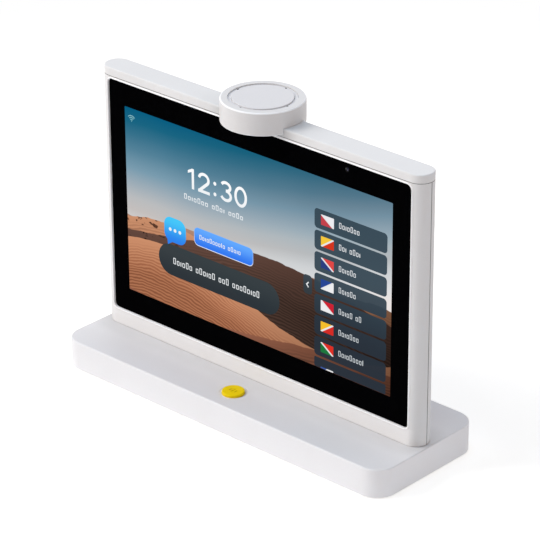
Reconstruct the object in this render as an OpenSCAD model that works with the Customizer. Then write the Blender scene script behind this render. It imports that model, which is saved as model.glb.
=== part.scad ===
// Table-top translator: an upright slab with a screen on each face, standing on a low base.
// Millimetres. The origin is under the middle of the base, on the table; the front faces -Y.

/* [Base] */
// Width of the base
base_w = 269.8; // [250:0.1:300]
// Depth of the base, front to rear
base_d = 92.7; // [84:0.1:120]
// Height of the base's side, without the feet
base_h = 19.2; // [18.6:0.1:26]
// Corner radius of the base, seen from above
base_r = 14; // [8:0.5:20]
// Rounding of the base's top edge
base_edge = 0.9; // [0.4:0.1:1.6]
// Wall of the base shell
base_wall = 2.2; // [1.8:0.1:3]
// Thickness of the base's bottom cover
cover_t = 2; // [1.8:0.1:3]

/* [Feet] */
// Diameter of a rubber foot
foot_d = 12; // [8:0.5:14]
// How far a foot stands proud of the cover
foot_rise = 1; // [0.6:0.1:3]
// How deep a foot sits in the cover
foot_sink = 0.5; // [0.3:0.1:0.8]
// Distance of a foot's centre from the base's end
foot_in_x = 30.9; // [27:0.1:36]
// Distance of a foot's centre from the base's long side
foot_in_y = 13.35; // [12:0.05:16]

/* [Slab] */
// Width of the slab
slab_w = 264.7; // [250:0.1:280]
// Thickness of the slab, whose ends are half rounds
slab_t = 17.6; // [17.4:0.1:22]
// Height of the two half shells, from the base to the top cap
shell_h = 172.8; // [165:0.1:190]
// Wall of the half shells
shell_wall = 2.3; // [2:0.1:2.6]
// Rounding of the slab's lower edge
shell_edge = 0.7; // [0.3:0.1:1]
// Width of the parting grooves between the half shells and under the cap
seam_w = 0.3; // [0.2:0.05:0.5]
// Depth of the parting grooves
seam_depth = 0.5; // [0.3:0.1:0.8]
// Radius of the bead that frames each cover glass
bead_r = 0.45; // [0.3:0.05:0.5]
// Height of the top cap
cap_h = 5.6; // [5:0.1:8]
// Wall of the top cap
cap_wall = 2; // [1.6:0.1:2.2]
// Rounding of the cap's top edge
cap_edge = 0.8; // [0.4:0.1:1.2]

/* [Screens] */
// Width of the bezel at each side of the cover glass
bezel_side = 8.15; // [7.9:0.05:12]
// Height of the bezel under the cover glass
bezel_low = 11.5; // [11:0.1:14]
// Height of the bezel above the cover glass
bezel_top = 1.7; // [1.6:0.1:4]
// Corner radius of the cover glass
glass_r = 3.2; // [2:0.1:6]
// Thickness of the cover glass
glass_t = 1.1; // [0.8:0.1:1.2]
// Thickness of the adhesive frame behind the cover glass
gasket_t = 0.2; // [0.1:0.05:0.3]
// Width of the ledge that carries the cover glass
ledge_w = 6; // [5.6:0.1:6.4]
// Black border between the cover glass's edge and the display panel, at each side
border_side = 11.2; // [10:0.1:14]
// Black border under the display panel
border_low = 14; // [12:0.1:16]
// Black border above the display panel
border_top = 13.6; // [12:0.1:16]
// Thickness of the display panel
panel_t = 1; // [0.6:0.1:1.2]
// How far the backlight stands out past the panel all round
light_margin = 3; // [1:0.5:4]
// Thickness of the backlight
light_t = 2; // [1.6:0.1:2.2]
// Space between the cover glass and the panel
optic_gap = 0.25; // [0.2:0.05:0.35]

/* [Cameras] */
// Distance of a camera from the middle of the slab
camera_x = 74; // [70:0.5:80]
// Distance of a camera below the upper edge of the cover glass
camera_drop = 4.9; // [4.5:0.1:5.2]
// Diameter of a camera's lens barrel
lens_d = 5; // [3:0.1:5.4]
// Side of a camera's square body
camera_body = 7; // [6:0.1:7.4]

/* [Puck] */
// Diameter of the microphone puck
puck_d = 52.6; // [48:0.1:60]
// Height of the puck above the cap
puck_rise = 11.3; // [10.5:0.1:14]
// How far the puck reaches down past the cap's top
puck_skirt = 3.6; // [3:0.1:4.6]
// Wall of the puck
puck_wall = 2; // [1.6:0.1:2.4]
// Rounding of the puck's top edge
puck_edge = 1.1; // [0.5:0.1:1.6]
// Width of the rim outside the groove on the puck's top
rim_w = 4.8; // [4.4:0.1:6]
// Width of that groove
groove_w = 2.5; // [2:0.1:3]
// Depth of that groove
groove_depth = 0.8; // [0.4:0.1:1.1]
// Diameter of a microphone hole
mic_hole_d = 1.3; // [0.8:0.1:1.6]
// Space between the microphone board and the puck's wall
mic_board_gap = 1.8; // [1:0.1:2.2]

/* [Talk buttons] */
// Diameter of a talk button
talk_d = 14.4; // [13:0.1:16]
// Height of a talk button above the base
talk_rise = 1.5; // [1.2:0.1:2]
// Distance of a talk button from the middle of the base
talk_y = 28.8; // [28:0.1:32]
// Travel of a talk button
talk_travel = 1; // [0.6:0.1:1.2]
// Diameter of the shallow recess round a talk button
recess_d = 17.8; // [17.2:0.1:20]
// Depth of that recess
recess_depth = 0.3; // [0.1:0.1:0.5]
// Thickness of the flange that keeps a talk button in the base
talk_flange_t = 1.2; // [1:0.1:1.4]
// Height of the return spring
spring_h = 4.2; // [4:0.1:4.6]
// Outer diameter of the return spring
spring_d = 13; // [12:0.1:13.6]
// Wire of the return spring
wire_d = 0.7; // [0.5:0.1:0.8]
// Turns of the return spring
spring_turns = 3; // [2:1:3]

/* [Power button and port] */
// Length of the power button
power_l = 9; // [7:0.5:12]
// Height of the power button
power_h = 3; // [2.4:0.1:3.4]
// How far the power button's face lies below the base's wall
power_sink = 0.2; // [0:0.1:0.5]
// Travel of the power button
power_travel = 0.5; // [0.3:0.1:0.7]
// Distance of the power button from the port
power_y = 17; // [15:0.5:19]
// Width of the charging port's metal shell
port_w = 8.9; // [8.7:0.1:9.1]
// Height of the charging port's metal shell
port_h = 3.2; // [3.1:0.1:3.3]
// Length of the charging port
port_l = 7.6; // [6.5:0.1:9]
// Sheet of the charging port's metal shell
port_wall = 0.3; // [0.2:0.05:0.4]

/* [Base contents] */
// Width of the battery
battery_w = 116; // [90:1:120]
// Gap between the battery and the screw bosses beside it
battery_gap = 4.15; // [3:0.05:8]
// Thickness of the steel ballast plate
ballast_t = 2; // [1.5:0.1:2.4]
// Air between the base's contents and what hangs from its top
air = 0.5; // [0.3:0.1:0.8]
// Width of a speaker box
speaker_w = 38; // [36:0.5:40]
// Depth of a speaker box
speaker_d = 58; // [50:1:60]
// Wall of a speaker box
speaker_wall = 1.5; // [1.2:0.1:2]
// Gap between the charging board and the speaker box beside it
speaker_gap = 1; // [0.6:0.1:3]
// Diameter of a speaker driver
driver_d = 30; // [26:0.5:32]
// Depth of a speaker driver's frame
driver_h = 4; // [3:0.1:4.6]
// Width of the charging board
io_w = 22; // [20:0.5:24]
// Length of the charging board, along the base's end
io_l = 52; // [46:1:54]

/* [Chassis] */
// Thickness of the chassis plate between the screens
chassis_t = 1.2; // [1:0.1:1.5]
// Width of the main board
main_w = 120; // [90:1:134]
// Height of the main board
main_h = 84; // [60:1:90]
// Thickness of the circuit boards
board_t = 1.2; // [0.8:0.1:1.4]
// Thickness of the stand bracket's steel
bracket_t = 2; // [1.5:0.1:2.4]
// Width of the bracket's upright tongue
tongue_w = 110; // [90:1:122]
// Height of the tongue inside the slab
tongue_h = 30; // [26:0.5:33]
// Width of the bracket's foot in the base
bracket_w = 132; // [125:1:150]
// Depth of the bracket's foot in the base
bracket_d = 32; // [28:1:36]

/* [Fasteners] */
// Diameter of the larger screws, at the base and the bracket
screw_d = 2.4; // [2:0.1:2.6]
// Diameter of the small screws, in the slab and the puck
small_d = 1.8; // [1.4:0.1:2]
// Diameter of a larger screw's head
head_d = 4.6; // [4:0.1:4.8]
// Height of a larger screw's head
head_h = 1.1; // [0.8:0.1:1.2]
// Diameter of a small screw's head
small_head_d = 3.6; // [3:0.1:3.8]
// Height of a small screw's head
small_head_h = 0.9; // [0.7:0.1:1]
// Diameter of the bosses that take a larger screw
boss_d = 6; // [5.4:0.1:6.4]
// Diameter of the bosses that take a small screw
small_boss_d = 5.4; // [5:0.1:5.8]

/* [Clearances] */
// Gap round a piece that is fitted and does not move
fit = 0.15; // [0.1:0.05:0.2]
// Gap round a button in its hole
run = 0.2; // [0.15:0.05:0.3]
// Gap between a screw's thread and the hole that it passes or bites in
thread_gap = 0.1; // [0.05:0.05:0.15]
// Gap between a screw's tip and the bottom of its hole
tip_gap = 0.6; // [0.4:0.1:0.8]
// Skin left between the bottom of a screw's hole and the outside
skin = 0.6; // [0.5:0.1:0.8]

/* [Hidden] */
$fn = 48;

// How far a cut runs past the face that it opens
over = 1;

// Levels of the base, from the table up
cover_z = foot_rise;
floor_z = cover_z + cover_t;
base_top = foot_rise + base_h;
ceiling_z = base_top - base_wall;
ballast_top = floor_z + ballast_t;

// Levels of the slab
slab_z = base_top;
seam_z = slab_z + shell_h;
cap_top = seam_z + cap_h;
slab_r = slab_t / 2;
roof_t = 2;
shell_floor_t = 2;
front_y = -slab_r;

// Outlines of the glass, the panel and the backlight, and the middle of each
glass_w = slab_w - 2 * bezel_side;
glass_h = shell_h - bezel_low - bezel_top;
glass_z = slab_z + bezel_low + glass_h / 2;
pocket_w = glass_w + 2 * fit;
pocket_h = glass_h + 2 * fit;
panel_w = glass_w - 2 * border_side;
panel_h = glass_h - border_low - border_top;
screen_z = slab_z + bezel_low + border_low + panel_h / 2;
light_w = panel_w + 2 * light_margin;
light_h = panel_h + 2 * light_margin;
camera_z = slab_z + bezel_low + glass_h - camera_drop;

// Screen stack of the front face, from the outside in
glass_back = front_y + glass_t;
ledge_y = glass_back + gasket_t;
wall_y = front_y + shell_wall;
panel_y = glass_back + optic_gap;
light_y = panel_y + panel_t;
light_back = light_y + light_t;

// Middle of the ledge under the cover glass, and the screws there that close the slab, as [x, z]
ledge_x = glass_w / 2 - ledge_w / 2;
ledge_low = slab_z + bezel_low + ledge_w / 2;
ledge_high = slab_z + bezel_low + glass_h - ledge_w / 2;
side_pitch = panel_h / 2.2;
edge_pitch = panel_w / 3.8;
shell_screw_at = concat(
  [for (s = [-1, 1], k = [-1, 0, 1]) [s * ledge_x, screen_z + k * side_pitch]],
  [for (k = [-1.5, -0.5, 0.5, 1.5]) [k * edge_pitch, ledge_high]],
  [for (k = [-1.5, 1.5]) [k * edge_pitch, ledge_low]]
);
shell_head_sink = small_head_h + 0.3;

// Chassis plate and the boards on it
chassis_gap = 1;
chassis_r = 4;
chassis_w = 2 * ledge_x + small_boss_d;
chassis_low = slab_z + shell_floor_t + chassis_gap;
chassis_high = seam_z - roof_t - chassis_gap;
spacer_h = 0.8;
spacer_d = small_boss_d - 1;
board_y = -chassis_t / 2 - spacer_h;
board_front = board_y - board_t;
main_drop = 8;
main_z = screen_z - main_drop;
main_low = main_z - main_h / 2;
board_screw_in = 4;
board_screw_at = [for (x = [-1, 1], z = [-1, 0, 1])
  [x * (main_w / 2 - board_screw_in), main_z + z * (main_h / 2 - board_screw_in)]];
shield_w = 36;
shield_l = 38;
shield_x = 24;
shield_gap = 0.2;
shield_full = 1.6;
shield_room = board_front - light_back - shield_gap;
shield_h = shield_room > 0 ? min(shield_full, shield_room) : shield_full;

// Tongue of the bracket behind the chassis plate, and its screws as [x, z]
tongue_y = chassis_t / 2;
tongue_top = slab_z + tongue_h;
tongue_boss_h = 1.4;
tongue_boss_d = boss_d - 1;
tongue_screw_in = 15;
tongue_screw_low = 10.5;
tongue_screw_pitch = 12;
tongue_screw_at = [for (x = [-1, 1], k = [0, 1])
  [x * (tongue_w / 2 - tongue_screw_in), slab_z + tongue_screw_low + k * tongue_screw_pitch]];

// Foot of the bracket in the base
bracket_boss_h = 2;
bracket_boss_d = boss_d + 1;
bracket_z = ceiling_z - bracket_boss_h - bracket_t;
bracket_screw_in_x = 6;
bracket_screw_in_y = 4.5;
bracket_screw_at = [for (x = [-1, 0, 1], y = [-1, 1])
  [x * (bracket_w / 2 - bracket_screw_in_x), y * (bracket_d / 2 - bracket_screw_in_y)]];
bracket_bore = bracket_t + bracket_boss_h + base_wall - skin;

// Talk button stack, from the top down
recess_z = base_top - recess_depth;
flange_z = ceiling_z - talk_flange_t;
flange_lip = 1;
talk_flange_d = talk_d + 2 * (run + flange_lip);
talk_edge = 0.6;
switch_board_z = flange_z - spring_h - board_t;
switch_side = 6;
switch_h = 1.6;
switch_pin_h = 0.5;
press_gap = 0.1;
stem_d = 3;
stem_end = switch_board_z + board_t + switch_h + switch_pin_h + talk_travel + press_gap;
switch_boss_gap = 0.9;
switch_screw_in = 3;
switch_screw_x = talk_flange_d / 2 + switch_boss_gap + small_boss_d / 2;
switch_board_w = 2 * (switch_screw_x + switch_screw_in);
switch_board_d = 17;
switch_screw_at = [for (x = [-1, 1], s = [-1, 1]) [x * switch_screw_x, s * talk_y]];
switch_bore = ceiling_z - switch_board_z;

// Bars of the mark sunk into a talk button's top
mark_depth = 0.25;
mark_pitch = 2.2;
mark_l = 4.4;
mark_step = 1.6;
mark_w = 0.9;

// Charging board, port and power button at the left end
end_wall_x = -base_w / 2;
io_gap = 1.5;
io_boss_h = 3;
io_z = floor_z + io_boss_h;
io_top = io_z + board_t;
io_x0 = end_wall_x + base_wall + io_gap;
io_screw_in_x = 4;
io_screw_in_y = 3.5;
io_screw_at = [for (x = [io_screw_in_x, io_w - io_screw_in_x], s = [-1, 1])
  [io_x0 + x, s * (io_l / 2 - io_screw_in_y)]];
port_recess = 0.4;
port_back = 1;
port_z = io_top + port_h / 2;
contact_t = 0.7;
contact_gap = 0.85;
contact_in = 1.3;
power_z = port_z;
power_flange = 1;
power_flange_t = 1;
power_stem_d = 2;
power_stem_l = 2;
power_stem_end = end_wall_x + base_wall + power_flange_t + power_stem_l;
power_switch_l = 3.6;
power_switch_h = 3.4;

// Screws of the bottom cover
corner_screw_in_x = 13;
corner_screw_in_y = 12.5;
corner_screw_x = base_w / 2 - corner_screw_in_x;
corner_screw_y = base_d / 2 - corner_screw_in_y;
mid_screw_x = 45;
mid_screw_in = 4;
mid_screw_y = base_d / 2 - base_wall - mid_screw_in;
base_screw_at = concat(
  [for (x = [-1, 1], y = [-1, 1]) [x * corner_screw_x, y * corner_screw_y]],
  [for (x = [-1, 1], y = [-1, 1]) [x * mid_screw_x, y * mid_screw_y]]
);
base_head_sink = head_h + 0.1;
base_screw_l = 6.5;

// Feet, ballast and battery
foot_x = base_w / 2 - foot_in_x;
foot_y = base_d / 2 - foot_in_y;
foot_edge = 0.3;
battery_d = 2 * (mid_screw_y - boss_d / 2 - battery_gap);
battery_t = switch_board_z - small_head_h - air - ballast_top;
battery_r = 2;
battery_edge = 0.8;
ballast_lip = 1.5;

// Speaker boxes, with their ears on bosses of the cover
speaker_x = base_w / 2 - base_wall - io_gap - io_w - speaker_gap - speaker_w / 2;
speaker_h = bracket_z - head_h - air - floor_z;
speaker_r = 3;
speaker_edge = 0.6;
ear_up = 4;
ear_t = 2;
ear_z = floor_z + ear_up;
ear_w = 7;
ear_screw_y = speaker_d / 2 + ear_w / 2;
speaker_at = [-speaker_x, speaker_x];
driver_flange_t = 1;
magnet_h = 2.5;
grille_slots = 7;
grille_pitch = 3.3;
grille_l = 21;
grille_w = 1.6;

// Puck, from the top down
groove_outer = puck_d - 2 * rim_w;
groove_inner = groove_outer - 2 * groove_w;
groove_edge = 0.4;
puck_low_edge = 0.5;
puck_top = cap_top + puck_rise;
puck_bottom = cap_top - puck_skirt;
puck_floor_t = 2;
puck_floor = cap_top + puck_floor_t;
puck_base_sink = 0.5;
rim_t = 2;
rim_z = puck_top - rim_t;
ring_flange_t = 1.2;
ring_z = rim_z - ring_flange_t;
ring_ledge = 1.5;
mic_r = (groove_outer + groove_inner) / 4;
mic_w = 3;
mic_l = 4;
mic_h = 1.1;
seal_d = 3;
seal_h = 0.9;
mic_z = ring_z - seal_h - mic_h;
mic_board_d = puck_d - 2 * (puck_wall + mic_board_gap);
mic_board_z = mic_z - board_t;
mic_post_r = 14;
mic_post_bite = 2.5;
puck_screw_x = 7;
puck_base_r = puck_d / 2 - puck_wall - fit;

// Screws that hold the cap from inside the slab
cap_screw_y = 4.2;
cap_screw_near = 45;
cap_screw_in = 22.5;
cap_screw_x = [for (s = [-1, 1], x = [cap_screw_near, slab_w / 2 - cap_screw_in]) s * x];

// Flat ribbons between the boards
ribbon_t = 0.3;
ribbon_gap = 0.4;
ribbon_lap = 8;
ribbon_y = board_front - ribbon_t;
ribbon_clear = 3.4;
base_ribbon_w = 10;
base_ribbon_x = -(bracket_w / 2 + ribbon_clear + base_ribbon_w / 2);
base_ribbon_drop = 0.6;
ribbon_land_up = 9;
ribbon_land = main_low + ribbon_land_up;
io_ribbon_in = 4;
mic_ribbon_w = 8;
display_ribbon_w = 22;
front_ribbon_drop = 4;
rear_ribbon_drop = 5;
ribbon_window_h = 5;
ribbon_window_gap = 1;

// Outline of a rounded rectangle, centred
module plan(w, d, r) {
  square([w - 2 * r, d], center = true);
  if (d > 2 * r) square([w, d - 2 * r], center = true);
  for (x = [-1, 1], y = d > 2 * r ? [-1, 1] : [0])
    translate([x * (w / 2 - r), y * (d / 2 - r)]) circle(r);
}

// Quarter of a disc, in the first quadrant
module quarter(r) {
  intersection() {
    circle(r);
    square(2 * r);
  }
}

// Half section of a rounded edge: r wide, h high, with its top and bottom corners rounded
module edge_section(r, h, top, bottom) {
  translate([0, bottom]) square([r, h - top - bottom]);
  if (top > 0) {
    translate([0, h - top]) square([r - top, top]);
    translate([r - top, h - top]) quarter(top);
  }
  if (bottom > 0) {
    square([r - bottom, bottom]);
    translate([r - bottom, bottom]) mirror([0, 1]) quarter(bottom);
  }
}

// Block with rounded corners and rounded top and bottom edges, standing on z = 0
module soft_block(w, d, h, r, top, bottom) {
  inner_w = w - 2 * r;
  inner_d = d - 2 * r;
  if (inner_d > 0) translate([-inner_w / 2, -inner_d / 2, 0]) cube([inner_w, inner_d, h]);
  for (s = [0, 180]) rotate([0, 0, s]) {
    translate([-inner_w / 2, inner_d / 2, 0]) rotate([90, 0, 90])
      linear_extrude(inner_w) edge_section(r, h, top, bottom);
    if (inner_d > 0) translate([inner_w / 2, inner_d / 2, 0]) rotate([90, 0, 0])
      linear_extrude(inner_d) edge_section(r, h, top, bottom);
    translate([inner_w / 2, inner_d / 2, 0])
      rotate_extrude(angle = 90) edge_section(r, h, top, bottom);
    translate([inner_w / 2, -inner_d / 2, 0]) rotate([0, 0, -90])
      rotate_extrude(angle = 90) edge_section(r, h, top, bottom);
  }
}

// Disc with rounded top and bottom edges
module soft_disc(d, h, top, bottom) {
  rotate_extrude() edge_section(d / 2, h, top, bottom);
}

// Upright plate in front of the plane y, t thick towards -Y, centred on [x, z]
module upright(x, y, z, t) {
  translate([x, y, z]) rotate([90, 0, 0]) linear_extrude(t) children();
}

// Rod along Y from y0 to y1
module rod_y(x, z, y0, y1, d) {
  translate([x, y0, z]) rotate([-90, 0, 0]) cylinder(h = y1 - y0, d = d);
}

// Screw that points down from the underside of its head at z = 0
module screw(d, length, head, head_height) {
  slot_w = head / 6;
  difference() {
    union() {
      cylinder(h = head_height, d = head);
      translate([0, 0, -length]) cylinder(h = length, d = d);
    }
    for (a = [0, 90]) rotate([0, 0, a]) translate([-head / 4, -slot_w / 2, head_height / 2])
      cube([head / 2, slot_w, head_height]);
  }
}

module small_screw(length) {
  screw(small_d, length, small_head_d, small_head_h);
}

module large_screw(length) {
  screw(screw_d, length, head_d, head_h);
}

// Hole for a screw, up from z = 0
module small_bore(depth) {
  cylinder(h = depth, d = small_d + 2 * thread_gap);
}

module large_bore(depth) {
  cylinder(h = depth, d = screw_d + 2 * thread_gap);
}

// Hole for a small screw along Y
module bore_y(p, y0, y1) {
  rod_y(p[0], p[1], y0, y1, small_d + 2 * thread_gap);
}

// The same piece for the rear face, turned half round
module rear() {
  rotate([0, 0, 180]) children();
}

// Children at each point of a list, at the height z
module at_each(points, z) {
  for (p = points) translate([p[0], p[1], z]) children();
}

// Children on the four posts of the microphone board, at the height z
module at_posts(z) {
  for (a = [45:90:315]) rotate([0, 0, a]) translate([mic_post_r, 0, z]) children();
}

// Hollow of the base shell, down past its open underside
module base_hollow() {
  translate([0, 0, cover_z - over]) linear_extrude(ceiling_z - cover_z + over)
    plan(base_w - 2 * base_wall, base_d - 2 * base_wall, base_r - base_wall);
}

module base_shell() color("#e4e4e6") difference() {
  union() {
    difference() {
      translate([0, 0, cover_z]) soft_block(base_w, base_d, base_h, base_r, base_edge, 0);
      base_hollow();
    }
    at_each(base_screw_at, floor_z) cylinder(h = ceiling_z - floor_z, d = boss_d);
    at_each(bracket_screw_at, bracket_z + bracket_t) cylinder(h = bracket_boss_h, d = bracket_boss_d);
    at_each(switch_screw_at, switch_board_z + board_t)
      cylinder(h = switch_bore - board_t, d = small_boss_d);
  }
  for (s = [-1, 1]) translate([0, s * talk_y, 0]) {
    translate([0, 0, recess_z]) cylinder(h = recess_depth + over, d = recess_d);
    translate([0, 0, ceiling_z - over]) cylinder(h = base_wall + over, d = talk_d + 2 * run);
  }
  at_each(base_screw_at, floor_z - over) large_bore(base_screw_l + over);
  at_each(bracket_screw_at, bracket_z) large_bore(bracket_bore);
  at_each(switch_screw_at, switch_board_z) small_bore(switch_bore);
  tongue_slot(ceiling_z - over, base_wall + 2 * over);
  base_ribbon_slot(ceiling_z - over, base_wall + 2 * over);
  end_hole(0, port_z, port_w + 2 * fit, port_h + 2 * fit);
  end_hole(power_y, power_z, power_l + 2 * run, power_h + 2 * run);
}

// Long round-ended hole through the base's left wall
module end_hole(y, z, w, h) {
  translate([end_wall_x - over, y, z]) rotate([90, 0, 90])
    linear_extrude(base_wall + 2 * over) plan(w, h, h / 2);
}

module tongue_slot(z, h) {
  translate([-tongue_w / 2 - fit, tongue_y - fit, z]) cube([tongue_w + 2 * fit, bracket_t + 2 * fit, h]);
}

module base_ribbon_slot(z, h) {
  translate([base_ribbon_x - base_ribbon_w / 2 - ribbon_gap, ribbon_y - ribbon_gap, z])
    cube([base_ribbon_w + 2 * ribbon_gap, ribbon_t + 2 * ribbon_gap, h]);
}

module mic_ribbon_slot(z, h) {
  translate([-mic_ribbon_w / 2 - ribbon_gap, ribbon_y - ribbon_gap, z])
    cube([mic_ribbon_w + 2 * ribbon_gap, ribbon_t + 2 * ribbon_gap, h]);
}

// Row of slots under a speaker, shorter towards its ends so that they fill a circle
module grille(x) {
  last = (grille_slots - 1) / 2;
  for (k = [-last:last]) translate([x + k * grille_pitch, 0, cover_z - over])
    linear_extrude(cover_t + 2 * over) rotate([0, 0, 90])
      plan(grille_l * sqrt(1 - pow(k / (last + 1), 2)), grille_w, grille_w / 2);
}

module base_cover() color("#d2d2d4") {
  gap = base_wall + fit;
  ears = [for (x = speaker_at, s = [-1, 1]) [x, s * ear_screw_y]];
  difference() {
    union() {
      translate([0, 0, cover_z]) linear_extrude(cover_t)
        plan(base_w - 2 * gap, base_d - 2 * gap, base_r - gap);
      at_each(ears, floor_z) cylinder(h = ear_z - floor_z, d = boss_d);
      at_each(io_screw_at, floor_z) cylinder(h = io_boss_h, d = small_boss_d);
    }
    at_each(base_screw_at, cover_z - over) {
      cylinder(h = over + base_head_sink, d = head_d + 2 * fit);
      large_bore(cover_t + 2 * over);
    }
    at_each(concat(ears, io_screw_at), cover_z + skin) small_bore(ear_z);
    for (x = [-1, 1], y = [-1, 1]) translate([x * foot_x, y * foot_y, cover_z - over])
      cylinder(h = over + foot_sink, d = foot_d + 2 * fit);
    for (x = speaker_at) grille(x);
  }
}

module feet() color("#3a3a3c") {
  for (x = [-1, 1], y = [-1, 1]) translate([x * foot_x, y * foot_y, 0])
    soft_disc(foot_d, foot_rise + foot_sink, 0, foot_edge);
}

module base_screws() color("silver") {
  at_each(base_screw_at, cover_z + base_head_sink) rotate([180, 0, 0]) large_screw(base_screw_l);
}

module ballast_plate() color("#9a9ca0") {
  translate([0, 0, floor_z]) linear_extrude(ballast_t)
    plan(battery_w + 2 * ballast_lip, battery_d + 2 * ballast_lip, battery_r + ballast_lip);
}

module battery() color("#56708a") {
  translate([0, 0, ballast_top])
    soft_block(battery_w, battery_d, battery_t, battery_r, battery_edge, battery_edge);
}

module speaker_box(x) color("#2c2d30") {
  inner_w = speaker_w - 2 * speaker_wall;
  inner_d = speaker_d - 2 * speaker_wall;
  difference() {
    union() {
      translate([x, 0, floor_z]) soft_block(speaker_w, speaker_d, speaker_h, speaker_r, speaker_edge, 0);
      translate([x - ear_w / 2, -ear_screw_y - ear_w / 2, ear_z])
        cube([ear_w, 2 * ear_screw_y + ear_w, ear_t]);
    }
    translate([x, 0, floor_z - over]) cylinder(h = driver_h + 2 * over, d = driver_d + 2 * fit);
    translate([x, 0, floor_z + driver_h]) linear_extrude(speaker_h - driver_h - speaker_wall)
      plan(inner_w, inner_d, speaker_r - speaker_wall);
    for (s = [-1, 1]) translate([x, s * ear_screw_y, ear_z - over]) small_bore(ear_t + 2 * over);
  }
}

// Driver whose cone faces down: frame, cone, dome and magnet turned in one piece
module driver(x) color("#5a5a60") {
  r = driver_d / 2;
  h = driver_h;
  translate([x, 0, floor_z]) rotate_extrude() polygon([
    [0, h * 0.4], [r * 0.28, h * 0.3], [r * 0.36, h * 0.5], [r * 0.78, h * 0.2], [r * 0.84, h * 0.1],
    [r * 0.9, h * 0.2], [r * 0.92, 0], [r, 0], [r, driver_flange_t], [r * 0.94, driver_flange_t],
    [r * 0.6, h], [r * 0.56, h], [r * 0.56, h + magnet_h], [0, h + magnet_h]
  ]);
}

module speaker_screws() color("silver") {
  for (x = speaker_at, s = [-1, 1]) translate([x, s * ear_screw_y, ear_z + ear_t])
    small_screw(ear_z + ear_t - cover_z - skin - tip_gap);
}

module io_board() color("#1f6b45") difference() {
  translate([io_x0, -io_l / 2, io_z]) cube([io_w, io_l, board_t]);
  at_each(io_screw_at, io_z - over) small_bore(board_t + 2 * over);
}

module io_screws() color("silver") {
  at_each(io_screw_at, io_top) small_screw(io_top - cover_z - skin - tip_gap);
}

// Charging port: a stadium tube of sheet metal with a closed back and a contact tongue
module usb_c_port() color("#b8babd") {
  x0 = end_wall_x + port_recess;
  contact_w = port_w - 2 * (port_wall + contact_gap);
  contact_l = port_l - port_back - contact_in;
  translate([x0, 0, port_z]) rotate([90, 0, 90]) difference() {
    linear_extrude(port_l) plan(port_w, port_h, port_h / 2);
    translate([0, 0, -port_back]) linear_extrude(port_l)
      plan(port_w - 2 * port_wall, port_h - 2 * port_wall, port_h / 2 - port_wall);
  }
  translate([x0 + contact_in, -contact_w / 2, port_z - contact_t / 2])
    cube([contact_l, contact_w, contact_t]);
}

module power_switch() color("#2a2a2c") {
  translate([power_stem_end + power_travel + press_gap, power_y - switch_side / 2, io_top])
    cube([power_switch_l, switch_side, power_switch_h]);
}

module power_button() color("#dcdcde") {
  flange_x = base_wall + power_flange_t;
  translate([end_wall_x, power_y, power_z]) rotate([90, 0, 90]) {
    translate([0, 0, power_sink]) linear_extrude(base_wall - power_sink)
      plan(power_l, power_h, power_h / 2);
    translate([0, 0, base_wall]) linear_extrude(power_flange_t)
      plan(power_l + 2 * power_flange, power_h + 2 * power_flange, power_h / 2 + power_flange);
    translate([0, 0, flange_x]) cylinder(h = power_stem_l, d = power_stem_d);
  }
}

// Talk button: cap with a rounded edge, flange under the base's top and a stem over the switch
module talk_button() color("#e8c800") {
  top_z = base_top + talk_rise;
  cap_z = flange_z + talk_flange_t;
  translate([0, -talk_y, 0]) difference() {
    union() {
      translate([0, 0, cap_z]) soft_disc(talk_d, top_z - cap_z, talk_edge, 0);
      translate([0, 0, flange_z]) cylinder(h = talk_flange_t, d = talk_flange_d);
      translate([0, 0, stem_end]) cylinder(h = flange_z - stem_end, d = stem_d);
    }
    for (k = [-1, 0, 1]) translate([k * mark_pitch, 0, top_z - mark_depth])
      linear_extrude(over) rotate([0, 0, 90]) plan(mark_l - mark_step * abs(k), mark_w, mark_w / 2);
  }
}

// Point of the spring wire's middle at turn t
function coil_point(t) = [
  (spring_d - wire_d) / 2 * cos(360 * t),
  (spring_d - wire_d) / 2 * sin(360 * t),
  wire_d / 2 + (spring_h - wire_d) * t / spring_turns
];

// Wire of the return spring, swept along its turns with a six-sided section
module coil_spring() {
  turn_steps = 16;
  steps = turn_steps * spring_turns;
  sides = 6;
  rings = [for (i = [0:steps]) let (t = i / turn_steps, p = coil_point(t)) [
    for (k = [0:sides - 1]) let (a = 360 * k / sides)
      [p[0] + wire_d / 2 * cos(a) * cos(360 * t), p[1] + wire_d / 2 * cos(a) * sin(360 * t),
       p[2] + wire_d / 2 * sin(a)]
  ]];
  points = [for (ring = rings, p = ring) p];
  walls = [for (i = [0:steps - 1], k = [0:sides - 1]) let (n = (k + 1) % sides) each [
    [i * sides + k, (i + 1) * sides + k, (i + 1) * sides + n],
    [i * sides + k, (i + 1) * sides + n, i * sides + n]
  ]];
  ends = [[for (k = [0:sides - 1]) k], [for (k = [sides - 1:-1:0]) steps * sides + k]];
  polyhedron(points = points, faces = concat(walls, ends));
}

module talk_spring() color("silver") {
  translate([0, -talk_y, switch_board_z + board_t]) coil_spring();
}

module switch_board() color("#1f6b45") difference() {
  translate([-switch_board_w / 2, -talk_y - switch_board_d / 2, switch_board_z])
    cube([switch_board_w, switch_board_d, board_t]);
  for (s = [-1, 1]) translate([s * switch_screw_x, -talk_y, switch_board_z - over])
    small_bore(board_t + 2 * over);
}

module talk_switch() color("#2a2a2c") {
  translate([0, -talk_y, switch_board_z + board_t]) {
    translate([-switch_side / 2, -switch_side / 2, 0]) cube([switch_side, switch_side, switch_h]);
    cylinder(h = switch_h + switch_pin_h, d = stem_d);
  }
}

module switch_screws() color("silver") {
  at_each(switch_screw_at, switch_board_z) rotate([180, 0, 0]) small_screw(switch_bore - tip_gap);
}

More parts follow.
